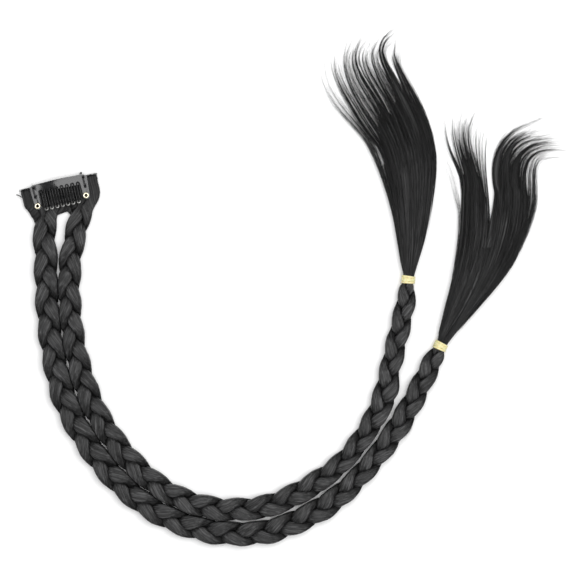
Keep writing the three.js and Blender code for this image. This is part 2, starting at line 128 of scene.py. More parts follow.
OUTER = {
    "name": "outer",
    "side": -1,
    "half_width": 7.25,
    "first_notch": 18.9,
    "pitch": 20.57,
    "tighten": 0.066,
    "notch_phase": 90,
    "start_lobe": -0.25,
    "parted": (268, 425),
    "route": [
        (-9.5, -20), (-8.5, -47.5), (-6.5, -86), (-3.5, -108), (2.5, -134), (13.5, -157), (32, -183),
        (55.5, -204), (80, -216.5), (103, -222), (119, -222.5), (135, -221), (157, -212.5),
        (175.5, -201.5), (203, -172.5), (218, -152.5), (230.5, -129.5), (240, -110.5), (244, -102.5),
    ],
    "tail": named(TAIL, [
        ((243.5, -92), (248.5, -93.5), (249.5, -93.5), (255, -93), 3.6),
        ((247.5, -77), (257.5, -78.5), (258.5, -78.5), (268, -77), 4),
        ((252, -60), (265.5, -61.5), (267, -61.5), (282, -60), 3.8),
        ((255.5, -42), (271.5, -43.5), (272.5, -43.5), (293, -42), 3.4),
        ((257.5, -23), (274.5, -23), (276.5, -23), (300, -23), 2.9),
        ((257.5, -4.5), (274.5, -4.5), (278.5, -4.5), (301, -4), 2.4),
        ((253, 14.5), (272, 13.5), (278, 13), (300, 11.5), 1.9),
        ((248.5, 30.5), (270.5, 26), (281.5, 23.5), (304, 21), 1.4),
        ((246, 41), (272, 36), (301.5, 34), (319, 24), 1),
    ]),
    "cores": [
        {"side": -1, "limits": named(LIMITS, [
            (0, -0.99, 0.35), (4.2, -0.99, 0.35), (5.6, -0.98, 0.04), (6.6, -0.95, -0.04), (7.4, -0.86, -0.16),
            (8.2, -0.7, -0.34)])},
        {"side": 1, "limits": named(LIMITS, [
            (0, -0.35, 0.99), (4.2, -0.35, 0.96), (5.6, -0.04, 0.93), (6.6, 0, 0.88), (7.4, 0.03, 0.85),
            (8.3, 0.2, 0.7)])},
    ],
    "locks": named(LOCK, [
        (-1, 0.04, 4, 4, 12, 0, 0, 0.6, 0.46,
         [(257, -19.6, 0.9), (254.4, -8, 1.4), (250.6, 7, 2), (246, 17.6, 2.4), (243, 28, 3)]),
        (-0.93, 0.06, 6.6, 2, 70, 0.4, 0.58, 0.6, 0.46,
         [(258.4, 3, 0.8), (254.2, 14.7, 0.8), (250.6, 23, 0.8), (247.9, 32.6, 0.9), (246.6, 45, 1.4)]),
        (-0.72, 0.2, 6.8, 7, 270, 0.85, 0.78, 0.3, 0.46,
         [(263, 2, 3.4), (260.2, 14, 3.2), (256.6, 27, 3), (255.4, 38, 3.4), (258.4, 52, 4.6)]),
        (-0.42, 0.2, 6.8, 6, 210, 0.7, 0.74, 0.3, 0.46,
         [(267.6, 2, 3), (264.8, 14, 2.6), (261.4, 27, 2.6), (261.2, 38, 3), (266.4, 51, 4.4)]),
        (-0.1, 0.14, 6, 4, 100, 0, 0, 0.6, 0.46,
         [(273.4, -9, 1.5), (271.6, 6, 1.8), (270.4, 21, 2.2), (271, 33, 2.6), (276, 46, 4)]),
        (0.17, 0.12, 7, 5, 300, 0.9, 0.86, 0.3, 0.58,
         [(280.6, 1, 2.2), (280.4, 13.4, 2.4), (284, 25.6, 2.6), (293.5, 35, 3), (316, 42.4, 4)]),
        (0.36, 0.2, 7, 6, 330, 0.95, 0.88, 0.3, 0.58,
         [(286, 1, 3), (286, 13.4, 3), (290, 24.4, 3.2), (301.4, 32, 3.2), (325, 34.4, 4)]),
        (0.66, 0.2, 7, 6, 330, 0.95, 0.86, 0.3, 0.58,
         [(292, 1, 3), (292.4, 12.6, 3), (297, 21.4, 3), (308, 27.6, 2.8), (330, 27.6, 3.4)]),
        (0.88, 0.1, 6.6, 4, 160, 0.4, 0.68, 0.6, 0.46,
         [(297.6, -2, 1.6), (297.6, 10, 1.6), (301.4, 19.4, 1.6), (312, 24.4, 1.8), (331, 22.6, 2.4)]),
        (1, 0.1, 4.6, 6, 150, 0, 0, 0.6, 0.46,
         [(302.4, -16, 2.4), (303.4, 0, 2.6), (304, 12, 2.4), (309, 19.6, 2), (327, 21, 2)]),
    ]),
}
INNER = {
    "name": "inner",
    "side": 1,
    "half_width": 6.9,
    "first_notch": 27.4,
    "pitch": 19.29,
    "tighten": 0.0386,
    "notch_phase": -90,
    "start_lobe": -0.75,
    "parted": (248, 400),
    "route": [
        (13.5, -18.5), (11, -29.5), (8.5, -41), (7, -57), (7, -73), (11, -105), (21, -137), (29.5, -153.5),
        (46.5, -176), (68, -194.5), (88.5, -203.5), (104.5, -206.5), (119.5, -206.5), (136.5, -203.5),
        (164.5, -189.5), (185, -173.5), (204, -144), (215.5, -102), (222, -73), (223.5, -60),
    ],
    "tail": named(TAIL, [
        ((219, -48.5), (224, -48.5), (225.5, -48.5), (230, -48.5), 3.6),
        ((216.5, -31.5), (225.5, -31.5), (226, -31.5), (235, -31.5), 4),
        ((212.5, -9), (225.5, -8), (226.5, -7.5), (239, -6.5), 3.8),
        ((208.5, 10), (224.5, 12.5), (225.5, 13), (241, 14.5), 3.4),
        ((201, 29.5), (220.5, 31), (221.5, 31.5), (238, 35), 2.8),
        ((187.5, 47.5), (210.5, 52), (212, 52.5), (230.5, 56.5), 2.2),
        ((174.5, 60), (200.5, 66.5), (202, 68), (221.5, 69), 1.6),
        ((168.5, 73), (194, 80.5), (197, 82), (215.5, 80.5), 1.2),
        ((167, 80.5), (196.5, 93.5), (208, 94.5), (215.5, 91), 0.9),
    ]),
    "cores": [
        {"side": -1, "limits": named(LIMITS, [
            (0, -0.99, 0.35), (2, -0.99, 0.35), (4.4, -0.93, 0.35), (5.6, -0.82, 0.3), (6.4, -0.62, 0.15),
            (7.1, -0.35, 0)])},
        {"side": 1, "limits": named(LIMITS, [
            (0, -0.35, 0.99), (4.4, -0.35, 0.99), (5.6, -0.3, 0.98), (6.6, -0.15, 0.95), (7.4, 0.1, 0.8)])},
    ],
    "locks": named(LOCK, [
        (-0.98, 0.08, 3.8, 5, 70, 0, 0, 0.6, 0.46,
         [(200, 26.4, 1.8), (189, 40.4, 2.4), (178.4, 53, 2.8), (171, 67, 3), (168.8, 84, 3.4)]),
        (-0.82, 0.12, 5.6, 4, 120, 0, 0, 0.6, 0.46,
         [(198, 36, 3), (187, 54, 3.2), (179.8, 68, 3.2), (177, 79, 3.2), (178.6, 93, 4)]),
        (-0.56, 0.16, 6, 5, 150, 0.4, 0.42, 0.6, 0.46,
         [(201, 45, 3.6), (189.4, 64, 3.2), (185, 77.4, 2.8), (186, 87, 2.6), (192, 98, 3.2)]),
        (-0.32, 0.16, 6.4, 4, 130, 0.5, 0.46, 0.6, 0.46,
         [(206, 50, 3), (194.4, 69, 2.4), (190, 80.6, 2), (191.4, 89, 2), (198, 99.4, 2.8)]),
        (-0.06, 0.16, 6.4, 4, 130, 0.5, 0.46, 0.6, 0.46,
         [(210.8, 52.4, 3), (200.8, 69, 2.4), (196, 79.4, 2), (196.4, 86.4, 2), (205, 99, 2.6)]),
        (0.2, 0.16, 6.4, 4, 130, 0.5, 0.48, 0.6, 0.46,
         [(215, 55, 3), (206, 71, 2.2), (202.2, 80.6, 1.7), (203, 88.6, 1.6), (209.4, 97.4, 2)]),
        (0.48, 0.18, 6.4, 3, 230, 0.7, 0.6, 0.6, 0.46,
         [(220, 56, 3.2), (211, 73.6, 2), (207.2, 82.6, 1.5), (207, 89, 1.4), (211, 95.4, 1.5),
          (221, 101, 2)]),
        (0.84, 0.15, 6.2, 3, 150, 0.5, 0.5, 0.6, 0.46,
         [(227, 54, 2.6), (220, 69.6, 1.7), (216, 79.4, 1.2), (214.6, 86, 1.1), (216.4, 95, 1.4)]),
        (1, 0.05, 5.6, 3, 50, 0, 0, 0.6, 0.46,
         [(233.4, 47, 1.2), (226, 62, 1.2), (219.6, 74, 1.2), (217.6, 82, 1.4), (218, 92, 2)]),
    ]),
}
BRAIDS = (OUTER, INNER)

STRAND_SIDES = 64
STRAND_STEPS = 300
STRAND_START = -5.4
STRAND_OVERRUN = 0.5
STRANDS = 3
LINE_POINTS = 4001
ROOM_STEP = 10
LAID_FULLNESS = 3.2
WOVEN_FULLNESS = 5
TURN_SHARPNESS = 0.97
FIBRE_SLANT = 0.5
FIBRE_STEP = 40
LEAN = 0.3
SLIVER = 0.85
DRAW_IN = 0.1
OPEN_GAP = 0.5
PARTING_RUN = 20
# Where the two braids lie side by side: room, and the runs from the weft and to the band.
ALONGSIDE = 9, 10.5
LEAN_FROM = 40, 60
LEAN_TO = 40, 80
SIDE_KNEE = 0.9
PRESS_GAP = 0.05
PRESS_BIAS = 0.22
PRESS_STEP = 0.5
FREE_SHARE = 0.85
RIM_SHARE = 0.985
STRAIGHT_RUN = 0.3
# Width of the painted shade in the crease beside a neighbour: in the mean, and how much less of it a strand on top
# shows.
CREASE = 1.248
CREASE_BIAS = 1.152
# Factors on a strand's colour: darker where it is laid at the weft, painted shade where it dives, a painted
# highlight where it is on top, and painted shade in a crease and low down.
LAID_SHADE = 0.62
DIVE_SHADE = 0.42
TOP_SHADE = 1.12
CREASE_SHADE = 0.56
LOW_SHADE = 0.75
# Ridges of hair on a strand: width and length of each, how high it stands and how much lighter it is, as streaks
# partly of the hair's own tone and partly painted light, lighter on the raised ridges and darker in the grooves.
STRAND_RIDGES = named("width length height shade", [
    (1.7, 40, 0.3, 0.3),
    (0.8, 26, 0.22, 0.4),
    (0.45, 18, 0.12, 0.5),
])
RIDGE_WRAP = 0.8
STREAKS = 0.4, 1.6
# Ridges lie lower at the weft and in the band.
CALM_ROOT = -4, 2
CALM_TIE = 0, 8
CALM_LIFT = 0.4
# Single hairs on a strand: how far they keep from its ends, how long and wide they lie, and how they rise.
LYING_HAIRS = 130
LYING = {"ends": (4, 12), "middles": (8, 14), "reach": (7, 17), "stop": 3, "across": 4,
         "sink": 0.06, "rise": (0.06, 0.16)}
STRAY_HAIRS = 12
STRAY = {"ends": (15, 40), "length": (10, 24), "turn": (-0.6, 0.9), "twist": 0.3, "sink": 0.2,
         "rise": (0.6, 1.6)}
HAIR_RADIUS = 0.08
STRAY_RADIUS = 0.045
HEAD_HAIR_RADIUS = 0.1
HAIR_POINTS = 9
HAIR_SPREAD = 60
# Share of the lying hairs that are on the upper side.
UPPER_SHARE = 0.75

CORE_SIDES = 144
CORE_STEPS = 70
CORE_FULL = 0.94
# End of a core: stations over which it thins and draws in, and how far it thins, draws in and sinks.
CORE_END = {"thins_over": 2.5, "drawn_over": 0.8, "thin": 0.7, "drawn": 0.85, "sunk": 0.55}
# Ridges of a tail's core: their scale across, round and along, how high each stands and how much lighter it is,
# lighter on the raised ridges, partly painted light.
CORE_RIDGES = named("across around along height shade", [(14, 0, 3, 0.16, 0.25), (40, 3, 2, 0.12, 1.6)])
HEART_SIDES = 24
HEART_STEPS = 34
HEART_HEIGHT = -0.1
# Wisps of a tip lock, the hairs that gather in them, and the ones that stray.
WISP = {"across": 0.85, "uneven": 0.15, "rise": 0.8, "sway": 1.2, "length": (0.88, 1.0), "share": (0.3, 1.7)}
TIP_HAIR = {"back": (0.8, 2.6), "gather": 0.55, "rise": 0.3, "most": 0.95, "sway": 0.45, "radius": 0.07,
            "shade": (0.5, 1.6)}
TIP_STRAY = {"across": 1.3, "sway": 3.4, "most": 4.5, "radius": 0.05}
TIP_SHAPE = [0, 0.1, 0.55, 1], [0.4, 1, 0.85, 0.22]
LOCK_CLEAR = 0.12
BODY_SPOTS = 3
COVER_HAIRS = 1400
COVER = {"start": (0.4, 4.2), "length": (1.5, 3.5), "parting": 0.12, "edge": 0.85, "edge_end": 5.2, "end": 7,
         "wander": 0.025, "shade": (0.4, 1.8)}
TAIL_STATION_LENGTH = 17
TIP_LENGTH = 90

WEFT_STEPS = 150
WEFT_SIDES = 40
WEFT_HAIRS = 220
WEFT_END_HAIRS = 60
WEFT_HAIR = {"place": 24.6, "ends": (19, 25.2), "from": (-0.6, -0.1), "to": (0.7, 1.3), "size": (0.0, 0.12),
             "drift": 0.35}
FALL_STEPS = 30
FALL_SIDES = 40
FALL_HAIRS = 240
# Hair that falls from the weft: height of its middle and half thickness, at the weft and where it ends.
FALL_Z = 2.2, 1.7
FALL_THICK = 1.3, 0.7

EDGE_ROUND = 0.16
BOW_CUTS = 41
STITCHES = 5
STITCH_PITCH = 0.22
STITCH_RADIUS = 0.16
KNOT_RADIUS = 0.3
THREAD_RADIUS = 0.32
# Height at which the sewing thread ends in the weft, and its place in from the end of a hole.
SEWN_Z = 3.6
HOLE_MARGIN = 0.5


def smooth(x, low, high):
    """0 below low, 1 above high and a smooth rise between them."""
    t = np.clip((np.asarray(x, float) - low) / (high - low), 0, 1)
    return t * t * (3 - 2 * t)


def mix(a, b, share):
    return a + (b - a) * share


def unit(v):
    return v / np.maximum(np.linalg.norm(v, axis=-1, keepdims=True), 1e-9)


def together(*parts):
    """Points from their coordinates, spread to one shape."""
    return np.stack(np.broadcast_arrays(*parts), -1)


def around(sides):
    """Angles of the corners of a ring."""
    return np.arange(sides) / sides * 2 * np.pi


def distances(points):
    """Distance of each point of a line from its start."""
    return np.concatenate([[0], np.cumsum(np.linalg.norm(np.diff(points, axis=0), axis=1))])


def on_surface(places):
    """Points on the surface from their places on it."""
    return np.array([(x, y, 0) for x, y, *_ in places], float)


def tapered(radius, t, count, blunt=0.03):
    """Radii along a number of hairs, thin at both ends."""
    return radius * np.sin(np.pi * np.clip(t, blunt, 1 - blunt)) ** 0.4 * np.ones((count, 1))


def strewn(rng, run):
    """Hair coordinates of single hairs: a place of its own for each, and the way along it."""
    place = rng.uniform(0, HAIR_SPREAD, (len(run), 1, 2))
    return np.concatenate([np.broadcast_to(place, (*run.shape, 2)), run[..., None]], -1)


def weighed(rows, key, parts, base=0):
    """Sum of parts, each times one column of its row."""
    return sum((row[key] * part for row, part in zip(rows, parts)), base)


def column(rows, key, at):
    """Value of one column of a table at distances, straight between its rows."""
    return np.interp(at, [row["at"] for row in rows], [row[key] for row in rows])


def curve_at(points, t):
    """Points of the smooth curve through given points, for shares t of its spans."""
    points = np.asarray(points, float)
    spans = len(points) - 1
    padded = np.vstack([2 * points[0] - points[1], points, 2 * points[-1] - points[-2]])
    place = np.clip(np.asarray(t, float), 0, 1) * spans
    first = np.minimum(place.astype(int), spans - 1)
    share = (place - first)[..., None]
    p0, p1, p2, p3 = (padded[first + k] for k in range(4))
    d0, d1, d2 = (np.linalg.norm(b - a, axis=-1, keepdims=True) ** 0.5
                  for a, b in ((p0, p1), (p1, p2), (p2, p3)))
    leave = ((p1 - p0) / d0 - (p2 - p0) / (d0 + d1) + (p2 - p1) / d1) * d1
    arrive = ((p2 - p1) / d1 - (p3 - p1) / (d1 + d2) + (p3 - p2) / d2) * d1
    square = 3 * (p2 - p1) - 2 * leave - arrive
    cube = 2 * (p1 - p2) + leave + arrive
    return p1 + share * (leave + share * (square + share * cube))


def on_head(points):
    """Points of the clip's own axes turned to where the head of the piece lies."""
    points = np.asarray(points, float)
    c, s = math.cos(HEAD_TILT), math.sin(HEAD_TILT)
    x, y = points[..., 0], points[..., 1]
    return np.stack([c * x - s * y, s * x + c * y, points[..., 2]], -1)


class Centreline:
    """Middle line of a braid on the surface, by distance from the weft."""

    def __init__(self, braid):
        x = braid["side"] * WEFT_WIDTH / 4
        start = -WEFT_DEPTH / 2 - GAP
        head = on_head([(x, start, 0), (x, start - HANG_LENGTH, 0)])
        route = np.vstack([head, on_surface(braid["route"])])
        self.points = curve_at(route, np.linspace(0, 1, LINE_POINTS))
        self.reach = distances(self.points)
        self.length = self.reach[-1]
        self.ends = unit(self.points[[1, -1]] - self.points[[0, -2]])

    def at(self, along):
        along = np.asarray(along, float)
        inside = np.stack([np.interp(along, self.reach, self.points[:, k]) for k in range(3)], -1)
        before = np.minimum(along, 0)[..., None] * self.ends[0]
        after = np.maximum(along - self.length, 0)[..., None] * self.ends[1]
        return inside + before + after

    def ahead(self, along):
        step = 0.6
        return unit(self.at(np.asarray(along) + step) - self.at(np.asarray(along) - step))

    def side(self, along):
        return np.cross(UP, self.ahead(along))


for braid in BRAIDS:
    braid["line"] = Centreline(braid)
# Room that each braid has on the side of the other one, by distance from the weft.
for braid, other in (BRAIDS, BRAIDS[::-1]):
    spots, places = braid["line"].reach[::ROOM_STEP], braid["line"].points[::ROOM_STEP]
    apart = np.linalg.norm(places[:, None] - other["line"].points[None, ::ROOM_STEP], axis=-1).min(axis=1)
    braid["beside"] = spots, apart * braid["half_width"] / (braid["half_width"] + other["half_width"])


def swing(turn):
    """Place of a strand across its braid, from -1 to 1: straight runs with round turns at both edges."""
    wave = np.sin(turn)
    straight = np.arcsin(TURN_SHARPNESS * wave) / math.asin(TURN_SHARPNESS)
    return mix(wave, straight, STRAIGHT_RUN)


class Sections:
    """Cross sections of a braid at distances along it: where its three strands are across (u) and up (w)."""

    def __init__(self, braid, along):
        first, pitch, tighten = braid["first_notch"], braid["pitch"], braid["tighten"]
        start_lobe = braid["start_lobe"]
        self.notch = lambda lobe: first + pitch * lobe - tighten * lobe ** 2
        self.along = along
        self.line = braid["line"]
        self.phase = math.radians(braid["notch_phase"])
        back = self.line.length - along
        self.half_width = braid["half_width"] * column(TIE, "width", back)
        half_thick = BRAID_HALF_THICK * column(ROOT, "thick", along) * column(TIE, "thick", back)
        self.half_thick = half_thick
        self.woven = smooth(along, LAID_LENGTH, LAID_LENGTH + self.notch(start_lobe))
        self.fullness = mix(LAID_FULLNESS, WOVEN_FULLNESS, self.woven)
        share = WEFT_WIDTH / (2 * STRANDS)
        lobe = (pitch - np.sqrt(pitch ** 2 - 4 * tighten * (along - first))) / (2 * tighten)
        lobe = np.maximum(lobe, start_lobe)
        self.turn = [self.phase + (lobe + index) * 2 * np.pi / STRANDS for index in range(STRANDS)]
        self.u, self.w = [], []
        for turn in self.turn:
            laid = share * np.sin(turn) / math.sin(np.pi / STRANDS)
            self.u.append(mix(laid, SWING * self.half_width * swing(turn), self.woven))
            self.w.append(self.woven * RISE * half_thick * np.sin(2 * turn - RISE_LAG))
        self.half_u = mix((share - GAP) / 2, STRAND_SHARE * self.half_width, self.woven)
        self.half_w = mix(half_thick, (1 - RISE) * half_thick, self.woven)
        self.centre_z = mix(BAND_RADIUS, half_thick, smooth(back, 0, TIE_RISE))
        self.facing = -braid["side"]
        room = np.interp(along, *braid["beside"])
        low, high = braid["parted"]
        opened = smooth(along, low, low + PARTING_RUN)
        self.beside = room - OPEN_GAP * opened * (1 - smooth(along, high - PARTING_RUN, high))
        notch_width = (SWING / 2 + STRAND_SHARE) * self.half_width
        lean = np.clip((self.beside - SLIVER) / notch_width - 1, -DRAW_IN, LEAN)
        lean = lean * (1 - smooth(self.beside, *ALONGSIDE))
        self.lean = lean * smooth(along, *LEAN_FROM) * smooth(back, *LEAN_TO)

    def round(self, theta):
        """Place on a strand's full section at an angle round it, across and up from its middle."""
        c, s = np.cos(theta), np.sin(theta)
        power = 2 / self.fullness
        return self.half_u * np.sign(c) * np.abs(c) ** power, self.half_w * np.sign(s) * np.abs(s) ** power

    def angle(self, share):
        """Angle round the upper side of a strand at a share of its half width."""
        share = np.clip(share, -RIM_SHARE, RIM_SHARE)
        return np.arccos(np.sign(share) * np.abs(share) ** (self.fullness / 2))

    def crossing(self, index):
        """The crossing that each section of a strand belongs to: its middle along and across, and its slant."""
        number = np.floor(self.turn[index] / np.pi + 0.25)
        side = np.where(number % 2 == 0, 1.0, -1.0)
        middle = self.notch((np.pi * (number + 0.25) - self.phase) / (2 * np.pi / STRANDS) - index)
        across = side * SWING * self.half_width * swing(np.pi / 4) * self.woven
        return middle, across, side * FIBRE_SLANT * self.woven

    def pressed(self, index, theta):
        """Places across and up of a strand's surface, pressed by its neighbours, and how free of them it is and
        how open to the light, from 0 to 1. The strand on top gives way least."""
        across, up = self.round(theta)
        share = np.ones(np.broadcast(across, up).shape)
        walls = []
        for other in range(STRANDS):
            if other == index:
                continue
            du, dw = self.u[other] - self.u[index], self.w[other] - self.w[index]
            nu, nw = du / self.half_u ** 2, dw / self.half_w ** 2
            size = np.hypot(nu, nw)
            facing = (nu * across + nw * up) / size
            on_top = np.tanh(-dw / (PRESS_STEP * self.half_w))
            room = ((nu * du + nw * dw) / size - PRESS_GAP) * (0.5 + PRESS_BIAS * on_top)
            share = np.where(facing > 1e-6, np.minimum(share, room / np.maximum(facing, 1e-6)), share)
            walls.append((room, facing, CREASE - CREASE_BIAS * on_top))
        light = np.minimum(*(smooth((room - facing * share) / width, 0, 1) for room, facing, width in walls))
        return across * share, up * share, smooth(share, FREE_SHARE, 1), light

    def fibre(self, index, theta):
        """Distances across, up and along the hair, which runs aslant on each crossing."""
        across, up = self.pressed(index, theta)[:2]
        middle, side, slant = self.crossing(index)
        run = self.along - middle
        over = self.u[index] + across - side - slant * run
        return over, self.w[index] + up, np.broadcast_to(self.along, over.shape)

    def shade(self, index, theta):
        """Painted light and shade on a strand's colour: lighter where it is on top, painted shade where it dives,
        low down and in the creases beside it.
        """
        _, up, _, light = self.pressed(index, theta)
        on_top = smooth(self.w[index] / (RISE * self.half_thick), -0.7, 0.8)
        rise = mix(LAID_SHADE, mix(DIVE_SHADE, TOP_SHADE, on_top), self.woven)
        height = smooth((self.w[index] + up) / self.half_thick, -0.2, 0.5)
        return mix(CREASE_SHADE, 1, light) * rise * mix(LOW_SHADE, 1, height)

    def points(self, index, theta, lift):
        """Points on a strand's surface, lifted off it a little."""
        across, up, free, _ = self.pressed(index, theta)
        share = 1 + lift * free / np.maximum(np.hypot(across, up), 0.6)
        out = self.u[index] + across * share
        toward = out * self.facing * (1 + self.lean)
        knee = SIDE_KNEE * self.beside
        slack = self.beside - knee
        held = np.where(toward > knee, knee + slack * (1 - np.exp(-(toward - knee) / slack)), toward)
        out = np.where(toward > 0, held * self.facing, out)
        point = self.line.at(self.along) + self.line.side(self.along) * out[..., None]
        point[..., 2] = np.maximum(self.centre_z + self.w[index] + up * share, CLEAR)
        return point


def grain(rng, x, y):
    """Random ridges over a plane of unit cells, from -0.5 to 0.5."""
    rows, columns = 97, 89
    peaks = rng.random((rows, columns))
    i, j = np.floor(x).astype(int), np.floor(y).astype(int)
    f, g = smooth(x - i, 0, 1), smooth(y - j, 0, 1)
    low = mix(peaks[i % rows, j % columns], peaks[(i + 1) % rows, j % columns], f)
    high = mix(peaks[i % rows, (j + 1) % columns], peaks[(i + 1) % rows, (j + 1) % columns], f)
    return mix(low, high, g) - 0.5


def skin(rings, fibre, shade=None, cell=(0, 0, 1, 1)):
    """Closed tube through rings of points: a flat grid rolled up, with its hair coordinates, shade and map."""
    steps, sides = rings.shape[:2]
    shade = np.ones((steps, sides)) if shade is None else shade
    bm = bmesh.new()
    uv = bm.loops.layers.uv.new(BAKE_MAP)
    hair = bm.verts.layers.float_vector.new(FIBRE)
    dark = bm.verts.layers.float.new(SHADE)
    bmesh.ops.create_grid(bm, x_segments=sides, y_segments=steps - 1, size=1, calc_uvs=True)
    seam = []
    for n, vert in enumerate(bm.verts):
        row, side = divmod(n, sides + 1)
        vert.co = rings[row, side % sides] * MM
        vert[hair] = fibre[row, side % sides]
        vert[dark] = shade[row, side % sides]
        if side in (0, sides):
            seam.append(vert)
    left, low, right, high = cell
    for face in bm.faces:
        for loop in face.loops:
            u, v = loop[uv].uv
            loop[uv].uv = (mix(left, right, u), mix(low, high, v))
    bmesh.ops.remove_doubles(bm, verts=seam, dist=1e-9)
    rims = [edge for edge in bm.edges if edge.is_boundary]
    bmesh.ops.holes_fill(bm, edges=rims, sides=0)
    bmesh.ops.recalc_face_normals(bm, faces=bm.faces)
    return made_mesh(bm)


def made_mesh(bm):
    mesh = bpy.data.meshes.new("made")
    for face in bm.faces:
        face.smooth = True
    bm.to_mesh(mesh)
    bm.free()
    return mesh


def spin(bm, edges, axis, steps):
    """Turn a closed profile once round an axis through the origin."""
    bmesh.ops.spin(bm, geom=edges, cent=(0, 0, 0), axis=axis, dvec=(0, 0, 0), angle=2 * math.pi, steps=steps,
                   use_merge=True)


def head_mesh(bm, sharp):
    """Mesh of a hard piece of the clip, turned with the head, crisp at edges above an angle in degrees."""
    bmesh.ops.rotate(bm, verts=bm.verts, cent=(0, 0, 0), matrix=Matrix.Rotation(HEAD_TILT, 3, "Z"))
    mesh = made_mesh(bm)
    mesh.set_sharp_from_angle(angle=math.radians(sharp))
    return mesh


def cross_axes(paths, axis):
    """Directions sideways and upwards across lines of points."""
    ahead = unit(np.gradient(paths, axis=axis))
    side = unit(np.cross(UP, ahead))
    return side, np.cross(ahead, side)


def hair_mesh(paths, radii, fibre, shade=None, cell=(0.5, 0, 1, 1)):
    """Many thin three-sided hairs as one mesh: their paths, radii and hair coordinates by hair and point."""
    count, points = paths.shape[:2]
    side, over = cross_axes(paths, 1)
    corner = np.radians([90, 210, 330])
    ring = side[:, :, None] * np.cos(corner)[:, None] + over[:, :, None] * np.sin(corner)[:, None]
    places = paths[:, :, None] + ring * radii[:, :, None, None]
    places[..., 2] = np.maximum(places[..., 2], 0.02)
    number = np.arange(count * points * 3).reshape(count, points, 3)
    near, far = number[:, :-1], number[:, 1:]
    walls = np.stack([near, far, np.roll(far, -1, 2), np.roll(near, -1, 2)], -1).reshape(-1, 4)
    caps = np.concatenate([number[:, 0], number[:, -1, ::-1]])
    mesh = bpy.data.meshes.new("hairs")
    mesh.from_pydata((places.reshape(-1, 3) * MM).tolist(), [], walls.tolist() + caps.tolist())
    shade = np.ones((count, points)) if shade is None else shade
    for layer, kind, field, values in ((FIBRE, "FLOAT_VECTOR", "vector", fibre), (SHADE, "FLOAT", "value", shade)):
        made = mesh.attributes.new(layer, kind, "POINT")
        made.data.foreach_set(field, np.repeat(values, 3, 1).astype(np.float32).ravel())
    left, low, right, high = cell
    across = 64
    rows = math.ceil(count / across)
    hair, point, side_of = np.meshgrid(np.arange(count), np.arange(points), np.arange(3), indexing="ij")
    u = mix(left, right, (hair % across + 0.1 + 0.4 * side_of) / across)
    v = mix(low, high, (hair // across + 0.05 + 0.9 * point / (points - 1)) / rows)
    corners = np.zeros(len(mesh.loops), int)
    mesh.loops.foreach_get("vertex_index", corners)
    layer = mesh.uv_layers.new(name=BAKE_MAP)
    layer.uv.foreach_set("vector", np.stack([u.ravel(), v.ravel()], -1)[corners].astype(np.float32).ravel())
    mesh.shade_smooth()
    return mesh


def placed(name, data):
    """New object in the scene."""
    obj = bpy.data.objects.new(name, data)
    bpy.context.scene.collection.objects.link(obj)
    return obj


def piece(name, meshes, material, body, slot, *nodes):
    """One shown piece from several meshes, riding on its body and standing for its solids."""
    bm = bmesh.new()
    for mesh in meshes:
        bm.from_mesh(mesh)
        bpy.data.meshes.remove(mesh)
    joined = bpy.data.meshes.new(name)
    bm.to_mesh(joined)
    bm.free()
    joined.materials.append(material)
    obj = placed(name, joined)
    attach(obj, body)
    if nodes:
        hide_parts(*nodes)


# Finishes

class Finish:
    """A node material with short calls for its pattern nodes."""

    def __init__(self, name):
        self.material = bpy.data.materials.new(name)
        self.material.use_nodes = True
        self.nodes = self.material.node_tree.nodes
        self.links = self.material.node_tree.links
        self.shader = self.nodes["Principled BSDF"]

    def node(self, kind, **settings):
        made = self.nodes.new(kind)
        for key, value in settings.items():
            if hasattr(made, key):
                setattr(made, key, value)
            else:
                made.inputs[key.replace("_", " ")].default_value = value
        return made

    def link(self, source, target):
        self.links.new(source, target)

    def set(self, **sockets):
        for key, value in sockets.items():
            self.shader.inputs[key.replace("_", " ")].default_value = value

    def scaled(self, coordinates, scale):
        mapping = self.node("ShaderNodeMapping", Scale=scale)
        self.link(coordinates, mapping.inputs["Vector"])
        return mapping.outputs["Vector"]

    def along_hair(self, *scale):
        """Hair coordinates, scaled across and along."""
        return self.scaled(self.node("ShaderNodeAttribute", attribute_name=FIBRE).outputs["Vector"], scale)

    def in_place(self, *scale):
        """Object coordinates, scaled."""
        return self.scaled(self.node("ShaderNodeTexCoord").outputs["Object"], scale)

    def noise(self, vector, detail=3.0, roughness=0.6):
        noise = self.node("ShaderNodeTexNoise", Scale=1.0, Detail=detail, Roughness=roughness)
        self.link(vector, noise.inputs["Vector"])
        return noise.outputs["Fac"]

    def colours(self, value, stops):
        ramp = self.node("ShaderNodeValToRGB")
        elements = ramp.color_ramp.elements
        while len(elements) < len(stops):
            elements.new(0.5)
        for element, (place, colour) in zip(elements, stops):
            element.position = place
            element.color = (*colour, 1)
        self.link(value, ramp.inputs["Fac"])
        self.link(ramp.outputs["Color"], self.shader.inputs["Base Color"])
        return ramp.outputs["Color"]

    def rough(self, value, low, high):
        spread = self.node("ShaderNodeMapRange", From_Min=0.3, From_Max=0.7, To_Min=low, To_Max=high)
        self.link(value, spread.inputs["Value"])
        self.link(spread.outputs["Result"], self.shader.inputs["Roughness"])

    def relief(self, value, strength, depth):
        bump = self.node("ShaderNodeBump", Strength=strength, Distance=depth * MM)
        self.link(value, bump.inputs["Height"])
        self.link(bump.outputs["Normal"], self.shader.inputs["Normal"])


